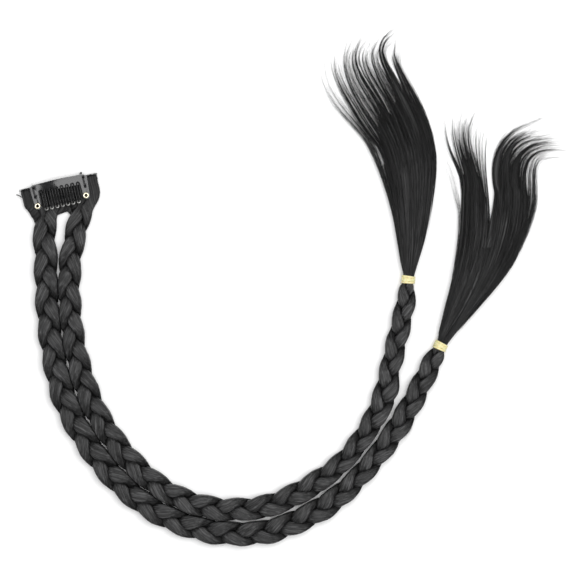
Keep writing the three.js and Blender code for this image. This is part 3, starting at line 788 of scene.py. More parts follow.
def hair_finish(name, dark, middle, light, gloss, rough):
    """Black hair fibre: fine streaks along the hair in colour, gloss and relief; the shade attribute scales its
    colour and gloss, and with it the painted shade in the creases.
    """
    finish = Finish(name)
    streaks = finish.noise(finish.along_hair(1.3, 1.3, 0.012), detail=2.0, roughness=0.7)
    colour = finish.colours(streaks, [(0.36, dark), (0.5, middle), (0.66, light)])
    shade = finish.node("ShaderNodeAttribute", attribute_name=SHADE).outputs["Fac"]
    darkened = finish.node("ShaderNodeVectorMath", operation="SCALE")
    finish.link(colour, darkened.inputs["Vector"])
    finish.link(shade, darkened.inputs["Scale"])
    finish.link(darkened.outputs["Vector"], finish.shader.inputs["Base Color"])
    shine = finish.node("ShaderNodeMapRange", To_Min=0.02, To_Max=gloss)
    finish.link(shade, shine.inputs["Value"])
    finish.link(shine.outputs["Result"], finish.shader.inputs["Specular IOR Level"])
    finish.rough(streaks, *rough)
    fine = finish.noise(finish.along_hair(5, 5, 0.06), detail=2.0)
    finish.relief(fine, 0.6, 0.3)
    return finish.material


def coat(name, scale, detail, stops, rough, relief=None, along_hair=False, **sockets):
    """A finish with one fine pattern in its colour and gloss, and in its relief where it has one."""
    finish = Finish(name)
    place = finish.along_hair if along_hair else finish.in_place
    pattern = finish.noise(place(*scale), detail=detail)
    finish.colours(pattern, stops)
    finish.rough(pattern, *rough)
    if relief:
        finish.relief(pattern, *relief)
    finish.set(**sockets)
    return finish


def paint_finish():
    """Gloss black paint on sheet steel, with a faint orange peel and fine rubbed spots."""
    spots = [(0.3, (0.006, 0.006, 0.007)), (0.68, (0.011, 0.011, 0.012)), (0.8, (0.03, 0.03, 0.03))]
    finish = coat("gloss_black_paint", (700, 700, 700), 4.0, spots, (0.12, 0.2), Specular_IOR_Level=0.55)
    finish.relief(finish.noise(finish.in_place(1600, 1600, 1600), detail=1.0), 0.06, 0.05)
    return finish.material


def comb_finish():
    """Gloss black paint, with a painted highlight on the bends at the heel of the comb: light grey metal there."""
    finish = Finish("comb_paint")
    spots = finish.noise(finish.in_place(420, 420, 420), detail=3.0)
    place = finish.node("ShaderNodeTexCoord").outputs["Object"]
    down = finish.node("ShaderNodeVectorMath", operation="DOT_PRODUCT")
    finish.link(place, down.inputs[0])
    down.inputs[1].default_value = (math.sin(HEAD_TILT) / MM, -math.cos(HEAD_TILT) / MM, 0)
    uneven = finish.node("ShaderNodeMath", operation="MULTIPLY_ADD")
    uneven.inputs[1].default_value = 4.0
    finish.link(spots, uneven.inputs[0])
    finish.link(down.outputs["Value"], uneven.inputs[2])
    # Painted highlight: the bends at the heel turn light grey and metallic, unevenly with the spots.
    bend_highlight = finish.node("ShaderNodeMapRange", From_Min=-HEEL_Y + 0.1, From_Max=-HEEL_Y + 2.3)
    finish.link(uneven.outputs["Value"], bend_highlight.inputs["Value"])
    finish.colours(bend_highlight.outputs["Result"], [(0, (0.004, 0.004, 0.0045)), (1, (0.34, 0.34, 0.33))])
    finish.link(bend_highlight.outputs["Result"], finish.shader.inputs["Metallic"])
    finish.rough(spots, 0.2, 0.36)
    finish.set(Specular_IOR_Level=0.3)
    return finish.material


def brass_finish():
    """Pale polished brass with fine turning marks."""
    marks = [(0.3, (0.7, 0.62, 0.42)), (0.6, (0.9, 0.85, 0.68)), (0.75, (0.94, 0.91, 0.78))]
    return coat("pale_brass", (900, 900, 4000), 3.0, marks, (0.2, 0.34), Metallic=0.85).material


def rubber_finish():
    """Pale yellow rubber, slightly dusty."""
    dust = [(0.3, (0.66, 0.58, 0.27)), (0.5, (0.78, 0.71, 0.38)), (0.7, (0.86, 0.8, 0.5))]
    return coat("yellow_rubber", (900, 900, 900), 4.0, dust, (0.42, 0.6), (0.2, 0.12),
                Subsurface_Weight=0.15, Subsurface_Scale=0.001).material


def thread_finish():
    """Twisted black sewing thread."""
    twist = [(0.35, (0.01, 0.01, 0.011)), (0.65, (0.035, 0.035, 0.037))]
    return coat("black_thread", (4, 4, 3), 2.0, twist, (0.5, 0.7), (0.4, 0.1), along_hair=True).material


braid_hair = hair_finish("braid_hair", (0.0062, 0.0062, 0.0062), (0.0208, 0.0208, 0.0212),
                         (0.063, 0.063, 0.064), 0.22, (0.36, 0.5))
tail_hair = hair_finish("tail_hair", (0.004, 0.004, 0.004), (0.018, 0.018, 0.0182),
                        (0.062, 0.062, 0.063), 0.18, (0.4, 0.56))
weft_hair = hair_finish("weft_hair", (0.004, 0.004, 0.004), (0.014, 0.014, 0.0143),
                        (0.055, 0.055, 0.056), 0.2, (0.4, 0.55))
black_paint = paint_finish()
comb_paint = comb_finish()
pale_brass = brass_finish()
yellow_rubber = rubber_finish()
black_thread = thread_finish()


# Braids

def strand(braid, index):
    """One strand of a braid: a ridged bundle with single hairs lying on it and a few that stand off."""
    rng = np.random.default_rng(SEEDS["strand"] + 100 * braid["side"] + index)
    length = braid["line"].length
    along = np.linspace(STRAND_START, length + STRAND_OVERRUN, STRAND_STEPS)[:, None]
    theta = around(STRAND_SIDES)[None]
    sections = Sections(braid, along)
    over, up, run = sections.fibre(index, theta)
    ridges = [grain(rng, (over + RIDGE_WRAP * up) / row["width"], run / row["length"]) for row in STRAND_RIDGES]
    calm = smooth(along, *CALM_ROOT) * smooth(length - along, *CALM_TIE)
    rings = sections.points(index, theta, weighed(STRAND_RIDGES, "height", ridges) * mix(CALM_LIFT, 1, calm))
    # Painted shade and highlights of the weave, times the ridges' streaks, which are partly painted shade in the
    # grooves.
    shade = sections.shade(index, theta) * np.clip(weighed(STRAND_RIDGES, "shade", ridges, 1), *STREAKS)
    fibre = together(over, up, run) + FIBRE_STEP * index
    meshes = [skin(rings, fibre, shade, (0, 0, 0.5, 1))]

    t = np.linspace(0, 1, HAIR_POINTS)[None]
    each = LYING_HAIRS, 1
    first, last = LYING["ends"]
    middle = rng.uniform(first, length - last, each)
    middle, centre, slant = Sections(braid, middle).crossing(index)
    first, last = LYING["middles"]
    middle = np.clip(middle, first, length - last)
    near, far = LYING["reach"]
    along = middle + rng.uniform(-far, -near, each) * (1 - t) + rng.uniform(near, far, each) * t
    along = np.minimum(along, length - LYING["stop"])
    sections = Sections(braid, along)
    across = centre + rng.uniform(-LYING["across"], LYING["across"], each) + slant * (along - middle)
    theta = sections.angle((across - sections.u[index]) / sections.half_u)
    theta = theta * np.where(rng.random(each) < UPPER_SHARE, 1, -1)
    rise = -LYING["sink"] + rng.uniform(*LYING["rise"], each) * np.sin(np.pi * t) ** 0.5
    # The lying hairs take the painted shade and highlights of the strand beneath them.
    meshes.append(hair_mesh(sections.points(index, theta, rise), tapered(HAIR_RADIUS, t, LYING_HAIRS),
                            strewn(rng, along), sections.shade(index, theta), (0.5, 0, 1, 0.8)))

    each = STRAY_HAIRS, 1
    first, last = STRAY["ends"]
    start = rng.uniform(first, length - last, each)
    along = start + rng.uniform(*STRAY["length"], each) * t
    theta = rng.uniform(*STRAY["turn"], each) + np.pi * rng.integers(0, 2, each) + STRAY["twist"] * t
    rise = -STRAY["sink"] + rng.uniform(*STRAY["rise"], each) * np.sin(np.pi * t * 0.8)
    stray = Sections(braid, along).points(index, theta, rise)
    meshes.append(hair_mesh(stray, tapered(STRAY_RADIUS, t, STRAY_HAIRS), strewn(rng, along),
                            cell=(0.5, 0.8, 1, 1)))
    name = f"{braid['name']}_strand_{index + 1}"
    piece(name + "_hair", meshes, braid_hair, "hair_piece", "braid_hair", name)


# Tails

def tail_flow(braid):
    """Flow lines of a tail from the middle of its band, and its half thickness by station."""
    line = braid["line"]
    end = line.at(line.length)
    ahead, left = line.ahead(line.length), line.side(line.length)
    edges = {"left": 1, "split_l": NECK_PARTING, "split_r": -NECK_PARTING, "right": -1}
    flow = {}
    for key, across in edges.items():
        neck = [end + ahead * reach + left * NECK_RADIUS * across for reach in (GAP / 2, BAND_HALF + GAP)]
        flow[key] = np.array(neck + [(*row[key], 0) for row in braid["tail"]])
    flow["thick"] = [NECK_RADIUS * 0.9] * 2 + [row["thick"] for row in braid["tail"]]
    return flow


def tail_points(flow, across, station, height, half=0):
    """Points in a tail: across from -1 to 1, by station, and by height from -1 to 1 of its thickness there.

    half -1 or 1 keeps to that half's own flow, also a little past the parting."""
    across, station, height = np.broadcast_arrays(*(np.asarray(x, float) for x in (across, station, height)))
    t = station / LAST_STATION
    left_half = mix(curve_at(flow["left"], t), curve_at(flow["split_l"], t), (across + 1)[..., None])
    right_half = mix(curve_at(flow["split_r"], t), curve_at(flow["right"], t), across[..., None])
    on_left = across < 0 if half == 0 else np.full(across.shape, half < 0)
    point = np.where(on_left[..., None], left_half, right_half)
    thick = np.interp(station, np.arange(LAST_STATION + 1), flow["thick"])
    centre = mix(BAND_RADIUS, thick, smooth(station, 1, 2.5))
    point[..., 2] = np.maximum(centre + thick * height, CLEAR)
    return point


def tail_core(flow, core, rng, cell):
    """Solid half of a tail's body, ridged along the hair and drawn out towards the tips."""
    end = core["limits"][-1]["at"]
    station = np.linspace(0, end, CORE_STEPS)[:, None]
    theta = around(CORE_SIDES)[None]
    low, high = column(core["limits"], "low", station), column(core["limits"], "high", station)
    ended = smooth(station, end - CORE_END["thins_over"], end)
    point = 1 - CORE_END["drawn"] * smooth(station, end - CORE_END["drawn_over"], end)
    across = (low + high) / 2 + (high - low) / 2 * point * np.cos(theta)
    full = np.sqrt(np.maximum(1 - (across * CORE_FULL) ** 2, 0)) * (CORE_FULL - CORE_END["thin"] * ended)
    ridges = [grain(rng, row["across"] * across + row["around"] * theta, station / row["along"])
              for row in CORE_RIDGES]
    height = np.sin(theta) * (full + weighed(CORE_RIDGES, "height", ridges) * smooth(station, 0.5, 2))
    rings = tail_points(flow, across, station, height, core["side"])
    rings[..., 2] *= 1 - CORE_END["sunk"] * ended
    # Lighter on the raised ridges, darker in the grooves: streaks partly of the hair's tone, partly painted shade.
    shade = np.clip(weighed(CORE_RIDGES, "shade", ridges, 1), 0.3, 1.8)
    width = np.interp(station, [0, 2, 6, LAST_STATION], [4, 8, 20, 20])
    fibre = together(width * across, 4 * np.sin(theta), TAIL_STATION_LENGTH * station)
    return skin(rings, fibre + 20 * core["side"], shade, cell)


def lock_line(flow, lock, offset, height, spots):
    """Path of one hair of a lock: with the flow in the body, then along the lock's own tip."""
    half = -1 if lock["across"] < 0 else 1
    body = tail_points(flow, lock["across"] + lock["spread"] * offset, spots, height, half)
    tip = on_surface(lock["tip"])
    width = np.array([row[2] for row in lock["tip"]])
    side = np.cross(UP, unit(np.gradient(tip, axis=0)))
    tip = tip - side * (width * offset)[:, None]
    thick = np.interp(np.linspace(lock["leaves"] + 0.8, LAST_STATION, len(tip)),
                      np.arange(LAST_STATION + 1), flow["thick"])
    level = LOCK_CLEAR + thick * (1 + height) * np.linspace(0.9, 0.5, len(tip))
    tip[:, 2] = np.maximum(level, LOCK_CLEAR)
    return np.vstack([body, tip])


def lock_heart(flow, lock, rng, cell):
    """Solid heart of a tip lock, drawn out to a point."""
    t = np.linspace(0, lock["reach"], HEART_STEPS)
    spots = np.linspace(lock["leaves"] - 2.2, lock["leaves"], 4)
    theta = around(HEART_SIDES)
    middle = curve_at(lock_line(flow, lock, 0, HEART_HEIGHT, spots), t)
    edge = curve_at(lock_line(flow, lock, lock["heart"], HEART_HEIGHT, spots), t) - middle
    edge[:, 2] = 0
    taper = (1 - smooth(t, 0.65 * lock["reach"], lock["reach"])) * mix(0.4, 1, smooth(t, 0, 0.3))
    edge = edge * (0.04 + 0.96 * taper)[:, None]
    thick = middle[:, 2] * 0.75 * (0.15 + 0.85 * taper)
    rings = middle[:, None] + edge[:, None] * np.cos(theta)[None, :, None]
    rings[..., 2] = np.maximum(rings[..., 2] + thick[:, None] * np.sin(theta), 0.04)
    fibre = together(3 * np.cos(theta), 3 * np.sin(theta), TIP_LENGTH * t[:, None])
    ridge = grain(rng, *np.broadcast_arrays(5 * np.cos(theta), 6 * t[:, None]))
    shade = np.clip(1 + 0.9 * ridge, 0.3, 1.7)
    return skin(rings, fibre + rng.uniform(0, HAIR_SPREAD), shade, cell)


def lock_hairs(flow, lock, rng, loose):
    """Paths, radii, coordinates and shade of a lock's hairs: drawn together in wisps, and some that stray."""
    tips, still = len(lock["tip"]), np.zeros(BODY_SPOTS)
    sway = np.concatenate([still, np.linspace(0, 1, tips) ** 1.6])[:, None]
    drawn = np.concatenate([still, np.linspace(0, lock["drawn"], tips)])[:, None]
    shape = np.interp(np.linspace(0, 1, HAIR_POINTS), *TIP_SHAPE)
    count = lock["wisps"]
    wisps = []
    for offset in np.linspace(-WISP["across"], WISP["across"], count):
        wisps.append({"offset": offset + rng.normal(0, WISP["uneven"]),
                      "height": rng.uniform(-WISP["rise"], WISP["rise"]),
                      "sway": rng.normal(0, WISP["sway"], 2), "length": rng.uniform(*WISP["length"])})
    fullness = np.cumsum(rng.uniform(*WISP["share"], count))
    paths, thin, fibre, shade = [], [], [], []
    for n in range(lock["hairs"] + loose):
        wisp = wisps[np.searchsorted(fullness, rng.uniform(0, fullness[-1]))]
        strays = n >= lock["hairs"]
        spots = np.linspace(lock["leaves"] - rng.uniform(*TIP_HAIR["back"]), lock["leaves"], BODY_SPOTS)
        if strays:
            offset = rng.uniform(-TIP_STRAY["across"], TIP_STRAY["across"])
        else:
            offset = wisp["offset"] + rng.normal(0, TIP_HAIR["gather"] / count)
        height = wisp["height"] + rng.normal(0, TIP_HAIR["rise"])
        height = np.clip(height, -TIP_HAIR["most"], TIP_HAIR["most"])
        control = lock_line(flow, lock, offset, height, spots)
        if strays:
            most = TIP_STRAY["most"]
            control[:, :2] += sway * np.clip(rng.normal(0, TIP_STRAY["sway"], 2), -most, most)
        else:
            middle = lock_line(flow, lock, wisp["offset"], wisp["height"], spots)
            control = mix(control, middle, drawn)
            control[:, :2] += sway * (wisp["sway"] + rng.normal(0, TIP_HAIR["sway"], 2))
        t = np.linspace(0, wisp["length"] * rng.uniform(lock["shortest"], 1), HAIR_POINTS)
        paths.append(curve_at(control, t))
        thin.append((TIP_STRAY if strays else TIP_HAIR)["radius"] * shape)
        fibre.append(together(*rng.uniform(0, HAIR_SPREAD, 2), TIP_LENGTH * t))
        shade.append(np.full(HAIR_POINTS, rng.uniform(*TIP_HAIR["shade"])))
    return np.array(paths), np.array(thin), np.array(fibre), np.array(shade)


def cover_hairs(flow, rng):
    """Single hairs that lie on the body of a tail, above and below."""
    t = np.linspace(0, 1, HAIR_POINTS)[None]
    each = COVER_HAIRS, 1
    across = rng.uniform(-0.99, 0.97, each)
    start = rng.uniform(*COVER["start"], each)
    edge = (np.abs(across) < COVER["parting"]) | (np.abs(across) > COVER["edge"])
    stop = np.where(edge, COVER["edge_end"], COVER["end"])
    end = np.minimum(start + rng.uniform(*COVER["length"], each), stop)
    station = mix(start, end, t)
    wander = across + rng.normal(0, COVER["wander"], each) * t
    full = np.sqrt(np.maximum(1 - (wander * 0.95) ** 2, 0.02))
    side = np.where(rng.random(each) < UPPER_SHARE, 1, -1)
    height = side * (full * 0.97 - 0.05 + 0.1 * np.sin(np.pi * t) * rng.random(each))
    paths = tail_points(flow, wander, station, height)
    fibre = strewn(rng, TAIL_STATION_LENGTH * station)
    shade = rng.uniform(*COVER["shade"], each) * np.ones(HAIR_POINTS)
    return paths, tapered(HAIR_RADIUS, t, COVER_HAIRS), fibre, shade


def tail(braid):
    """Loose tail of a braid: its body with hairs lying on it, and the hairs of its tips."""
    rng = np.random.default_rng(SEEDS["tail"] + 7 * braid["side"])
    flow = tail_flow(braid)
    name = f"{braid['name']}_tail"
    body = []
    for n, core in enumerate(braid["cores"]):
        body.append(tail_core(flow, core, rng, (0.2 * n, 0, 0.2 * n + 0.2, 1)))
    for n, lock in enumerate(braid["locks"]):
        if lock["heart"]:
            low = n / len(braid["locks"])
            body.append(lock_heart(flow, lock, rng, (0.4, low, 0.5, low + 0.1)))
    body.append(hair_mesh(*cover_hairs(flow, rng)))
    piece(name + "_body", body, tail_hair, "hair_piece", "tail_hair", name)
    groups = [lock_hairs(flow, lock, rng, 18 + lock["hairs"] * 3 // 5) for lock in braid["locks"]]
    hairs = [np.concatenate(part) for part in zip(*groups)]
    piece(name + "_tips", [hair_mesh(*hairs, cell=(0, 0, 1, 1))], tail_hair, "hair_piece", "tail_hair", name)


# Bands

def band(braid):
    """Rubber band wound round the hair: close wraps and one that crosses over them."""
    line = braid["line"]
    side, ahead = line.side(line.length), line.ahead(line.length)
    wraps = named("along lean turn ring thick", [
        (-1.75, 3, 20, 3.82, 0.7),
        (-0.55, -3, 80, 3.86, 0.66),
        (0.62, 3, 130, 3.84, 0.68),
        (1.8, -2, 10, 3.8, 0.7),
        (0.1, 13, 55, 4.02, 0.5),
    ])
    bm = bmesh.new()
    for wrap in wraps:
        made = bmesh.ops.create_circle(bm, segments=12, radius=wrap["thick"] * MM)["verts"]
        bmesh.ops.translate(bm, verts=made, vec=(wrap["ring"] * MM, 0, 0))
        edges = list({edge for vert in made for edge in vert.link_edges})
        spin(bm, edges, (0, 1, 0), 44)
        loop = list({vert for face in bm.faces for vert in face.verts if not vert.tag})
        turn = Matrix.Rotation(math.radians(wrap["turn"]), 3, "Y")
        lean = Matrix.Rotation(math.radians(wrap["lean"]), 3, "Z")
        bmesh.ops.rotate(bm, verts=loop, cent=(0, 0, 0), matrix=turn @ lean)
        bmesh.ops.translate(bm, verts=loop, vec=(0, wrap["along"] * MM, 0))
        for vert in loop:
            vert.tag = True
    bmesh.ops.recalc_face_normals(bm, faces=bm.faces)
    axes = Matrix((-side, ahead, UP)).transposed().to_4x4()
    centre = Vector(line.at(line.length) * MM) + Vector((0, 0, BAND_RADIUS * MM))
    bmesh.ops.transform(bm, verts=bm.verts, matrix=Matrix.Translation(centre) @ axes)
    name = f"{braid['name']}_band"
    piece(name + "_wraps", [made_mesh(bm)], yellow_rubber, "hair_piece", "band_rubber", name)


# Weft and clip

def weft():
    """Folded and sewn head of the hair: tufts side by side over the upper edge, loose hairs at both ends."""
    rng = np.random.default_rng(SEEDS["weft"])
    x = np.linspace(-WEFT_WIDTH / 2, WEFT_WIDTH / 2, WEFT_STEPS)[:, None]
    theta = around(WEFT_SIDES)[None]
    wide, angle = np.broadcast_arrays(x, theta)
    tufts = 0.9 * grain(rng, wide / 1.1, 0 * angle) + 0.8 * grain(rng, wide / 2.6, angle)
    close = np.clip((WEFT_WIDTH / 2 - np.abs(x)) / 1.6, 0.02, 1) ** 0.4
    half_y = (WEFT_DEPTH / 2 + 0.25 * tufts) * close
    half_z = (WEFT_THICK / 2 - 0.5) * mix(0.6, 1, close) + 0.1 * tufts
    box = 1 / np.maximum(np.abs(np.cos(theta)), np.abs(np.sin(theta))) ** 0.6
    y = half_y * np.cos(theta) * box
    z = WEFT_THICK / 2 + half_z * np.sin(theta) * np.minimum(box, 1.1)
    rings = on_head(together(x, y, np.maximum(z, CLEAR)))
    meshes = [skin(rings, together(x * 1.2, 0 * theta, 5 * theta), cell=(0, 0, 0.5, 1))]

    t = np.linspace(0, 1, HAIR_POINTS)[None]
    each = WEFT_HAIRS, 1
    spot = rng.uniform(-WEFT_HAIR["place"], WEFT_HAIR["place"], each)
    at_ends = slice(0, WEFT_END_HAIRS)
    spot[at_ends] = np.sign(spot[at_ends]) * rng.uniform(*WEFT_HAIR["ends"], (WEFT_END_HAIRS, 1))
    turn = mix(rng.uniform(*WEFT_HAIR["from"], each), rng.uniform(*WEFT_HAIR["to"], each), t)
    size = 1 + rng.uniform(*WEFT_HAIR["size"], each)
    y = (WEFT_DEPTH / 2 + 0.1) * size * np.cos(turn) * 1.05
    z = WEFT_THICK / 2 + WEFT_THICK / 2 * size * np.sin(turn) * 1.04
    x = spot + rng.normal(0, WEFT_HAIR["drift"], each) * t
    paths = on_head(together(x, y, np.maximum(z, HEAD_HAIR_RADIUS)))
    thin = tapered(HEAD_HAIR_RADIUS, t, WEFT_HAIRS)
    meshes.append(hair_mesh(paths, thin, strewn(rng, 10 * t + 0 * spot)))
    piece("weft_hair", meshes, weft_hair, "hair_piece", "weft_hair", "weft")


# Lines of the hair between the two braids, from the weft down to where it joins them.
FALL = [
    [(-7, -4.5), (-6.4, -10), (-5.8, -16), (-5, -25)],
    [(-2, -3.4), (-2.4, -9), (-3, -15), (-3.8, -23)],
    [(4, -2.1), (3, -8.5), (1, -14), (-3, -20.4)],
    [(8, -1.3), (7.2, -9), (3.6, -15.5), (-3, -19.4)],
    [(9.2, -1), (8.4, -8), (5.6, -13.6), (4.3, -15.6)],
    [(11, -0.7), (10, -8.4), (8.4, -13.6), (7.2, -18.4)],
]


def fall_points(share, t, z):
    """Points on the hair between the braids: share across its lines, and t along them."""
    share, t, z = np.broadcast_arrays(share, t, z)
    drawn = np.stack([curve_at(on_surface(line), t) for line in FALL])
    place = np.clip(share, 0, 1) * (len(FALL) - 1)
    low = np.minimum(place.astype(int), len(FALL) - 2)
    near = np.take_along_axis(drawn, low[None, ..., None], 0)[0]
    far = np.take_along_axis(drawn, low[None, ..., None] + 1, 0)[0]
    point = mix(near, far, (place - low)[..., None])
    point[..., 2] = z
    return point


def fall():
    """Hair that falls from the middle of the weft and parts into the two braids below the comb."""
    rng = np.random.default_rng(SEEDS["fall"])
    t = np.linspace(0, 1, FALL_STEPS)[:, None]
    rise = np.linspace(0, 1, FALL_SIDES)
    share = np.concatenate([rise, 1 - rise])[None]
    upper = np.repeat([1, -1], FALL_SIDES)[None]
    thick = mix(*FALL_THICK, t) * np.sin(np.pi * np.clip(share, 0.04, 0.96)) ** 0.3
    ridge = grain(rng, *np.broadcast_arrays(share * 30, t * 2))
    z = mix(*FALL_Z, t) + upper * thick * (1 + 0.5 * ridge)
    # Painted shadow of the comb and bar: darker towards the weft. Lighter where the ridges stand higher: partly
    # the hair's tone, partly painted shade in the grooves.
    shade = np.clip(1 + ridge, 0.4, 1.5) * mix(0.75, 1, smooth(t, 0.4, 0.85))
    meshes = [skin(fall_points(share, t, z), together(20 * share, upper, 20 * t), shade, (0, 0, 0.5, 1))]

    t = np.linspace(0, 1, HAIR_POINTS)[None]
    each = FALL_HAIRS, 1
    share = rng.uniform(0, 1, each)
    z = mix(*FALL_Z, t) + mix(*FALL_THICK, t) * rng.uniform(-0.9, 1.1, each)
    paths = fall_points(share, rng.uniform(0.9, 1.04, each) * t, z)
    thin = tapered(HEAD_HAIR_RADIUS, t, FALL_HAIRS, 0.05)
    meshes.append(hair_mesh(paths, thin, strewn(rng, 20 * t + 0 * share)))
    piece("weft_fall", meshes, weft_hair, "hair_piece", "weft_hair")


def bow(x):
    """Spring bow of the clip's bar above its flat ends."""
    return np.where(np.abs(x) < BOW_HALF, BOW * np.cos(np.clip(x / BOW_HALF, -1, 1) * np.pi / 2) ** 2, 0)


def arc(x, y, radius, start, end, steps):
    """Points on part of a circle, angles in degrees."""
    turns = np.radians(np.linspace(start, end, steps))
    return [(x + radius * math.cos(a), y + radius * math.sin(a)) for a in turns]


def clip_plate():
    """Pressed plate of the clip, with rounded edges, sewing holes and the spring bow of its bar."""
    edge = np.linspace(-1, 1, 33)
    outline = arc(EYELET_X, HINGE_Y, LEG_RADIUS, 180, 360, 15)
    outline += [(PLATE_HALF_WIDTH, PLATE_CORNER_Y)]
    outline += [(-PLATE_TOP_HALF * t, PLATE_TOP_Y + PLATE_CROWN * (1 - t * t)) for t in edge]
    outline += [(-PLATE_HALF_WIDTH, PLATE_CORNER_Y)]
    outline += arc(-EYELET_X, HINGE_Y, LEG_RADIUS, 180, 360, 15)
    outline += [(LEG_IN_X * t, BAR_LOW_Y + BAR_SAG * (1 - t * t)) for t in edge]
    loops = [outline]
    half = SEWING_HOLE["width"] / 2
    for side in (-1, 1):
        loops.append(arc(side * EYELET_X, HINGE_Y, EYELET_HOLE, 0, 345, 24))
        for y in SEWING_HOLE["rows"]:
            x, top = side * SEWING_HOLE["x"], y + SEWING_HOLE["height"] - half
            loops.append(arc(x, top, half, 0, 180, 8) + arc(x, y + half, half, 180, 360, 8))
    bm = bmesh.new()
    for loop in loops:
        verts = [bm.verts.new((x * MM, y * MM, PLATE_BOTTOM * MM)) for x, y in loop]
        for a, b in zip(verts, verts[1:] + verts[:1]):
            bm.edges.new((a, b))
    bmesh.ops.triangle_fill(bm, edges=bm.edges, use_beauty=True)
    up = bmesh.ops.extrude_face_region(bm, geom=bm.faces)["geom"]
    raised = [item for item in up if isinstance(item, bmesh.types.BMVert)]
    bmesh.ops.translate(bm, verts=raised, vec=(0, 0, PLATE_THICK * MM))
    bmesh.ops.recalc_face_normals(bm, faces=bm.faces)
    rim = [e for e in bm.edges if len(e.link_faces) == 2 and e.calc_face_angle() > 1.2
           and abs(e.verts[0].co.z - e.verts[1].co.z) < 1e-7]
    bmesh.ops.bevel(bm, geom=rim, offset=EDGE_ROUND * MM, segments=3, affect="EDGES", profile=0.5, material=-1,
                    clamp_overlap=True)
    for x in np.linspace(-BOW_HALF, BOW_HALF, BOW_CUTS):
        cut = bm.verts[:] + bm.edges[:] + bm.faces[:]
        bmesh.ops.bisect_plane(bm, geom=cut, plane_co=(x * MM, 0, 0), plane_no=(1, 0, 0), dist=1e-8)
    for vert in bm.verts:
        vert.co.z += float(bow(vert.co.x / MM)) * MM
    piece("clip_plate", [head_mesh(bm, 40)], black_paint, "hair_piece", "clip_paint", "clip_frame")


def wire_height(x, y):
    """Height of the comb's wire: level at the hinge, bowed along each tooth, on the bar's bow at the tips."""
    reach = (y - HINGE_Y) / (TIP_Y - HINGE_Y)
    heel = HINGE_Z + HEEL_RISE * (HINGE_Y - y) / (HINGE_Y - HEEL_Y)
    rise = (bow(x) + TIP_CLEAR) * smooth(reach, 0, 1)
    tooth = HINGE_Z + rise + TOOTH_BOW * np.sin(np.pi * np.clip(reach, 0, 1))
    return np.where(reach < 0, heel, tooth)


def comb_path():
    """Line of the comb's one wire, from one eyelet to the other."""
    path = []
    end = TOOTH_PITCH * (TOOTH_COUNT - 1) / 2 + TOOTH_HALF
    heel_radius = TOOTH_PITCH / 2 - TOOTH_HALF
    low, high = HEEL_Y + heel_radius, TIP_Y - TOOTH_HALF
    stub = EYELET_X - EYELET_BARREL - GAP
    near_hinge = HINGE_Y + WIRE_RADIUS
    path += [(-stub, HINGE_Y), (-end - 2 * WIRE_RADIUS, HINGE_Y), (-end - 0.6 * WIRE_RADIUS, HINGE_Y + 0.05)]
    for tooth in range(TOOTH_COUNT):
        x = (tooth - (TOOTH_COUNT - 1) / 2) * TOOTH_PITCH
        up_from = near_hinge if tooth == 0 else low
        down_to = near_hinge if tooth == TOOTH_COUNT - 1 else low
        path += [(x - TOOTH_HALF, y) for y in np.linspace(up_from, high, 9)]
        path += arc(x, high, TOOTH_HALF, 180, 0, 11)[1:-1]
        path += [(x + TOOTH_HALF, y) for y in np.linspace(high, down_to, 9)]
        if tooth < TOOTH_COUNT - 1:
            path += arc(x + TOOTH_PITCH / 2, low, heel_radius, 180, 360, 11)[1:-1]
    path += [(end + 0.6 * WIRE_RADIUS, HINGE_Y + 0.05), (end + 2 * WIRE_RADIUS, HINGE_Y), (stub, HINGE_Y)]
    path = np.array(path)
    return np.column_stack([path, wire_height(path[:, 0], path[:, 1])])


def wire(path, radius, sides=10, cell=(0, 0, 1, 1)):
    """Round wire or thread along a line of points."""
    side, over = cross_axes(path, 0)
    c, s = np.cos(around(sides)), np.sin(around(sides))
    rings = path[:, None] + radius * (side[:, None] * c[:, None] + over[:, None] * s[:, None])
    return skin(rings, together(c, s, distances(path)[:, None]), cell=cell)


def clip_comb():
    mesh = wire(on_head(comb_path()), WIRE_RADIUS + PAINT_COAT)
    piece("comb_wire", [mesh], comb_paint, "comb", "clip_paint", "clip_comb")


def eyelet(name, side):
    """Turned rivet with a rolled rim, over the end of the comb's wire."""
    rim_low = HINGE_Z + WIRE_RADIUS + GAP
    profile = [(EYELET_BORE, PLATE_BOTTOM), (EYELET_BARREL, PLATE_BOTTOM), (EYELET_BARREL, rim_low)]
    middle = (EYELET_FLANGE + EYELET_BORE) / 2
    half = (EYELET_FLANGE - EYELET_BORE) / 2
    turns = np.linspace(0, math.pi, 12)
    profile += [(middle + half * math.cos(a), rim_low + EYELET_RIM * math.sin(a)) for a in turns]
    bm = bmesh.new()
    verts = [bm.verts.new((r * MM, 0, z * MM)) for r, z in profile]
    edges = [bm.edges.new(pair) for pair in zip(verts, verts[1:] + verts[:1])]
    spin(bm, edges, (0, 0, 1), 36)
    bmesh.ops.recalc_face_normals(bm, faces=bm.faces)
    bmesh.ops.translate(bm, verts=bm.verts, vec=(side * EYELET_X * MM, HINGE_Y * MM, 0))
    piece(name + "_rivet", [head_mesh(bm, 50)], pale_brass, "hair_piece", "eyelet_brass", name)


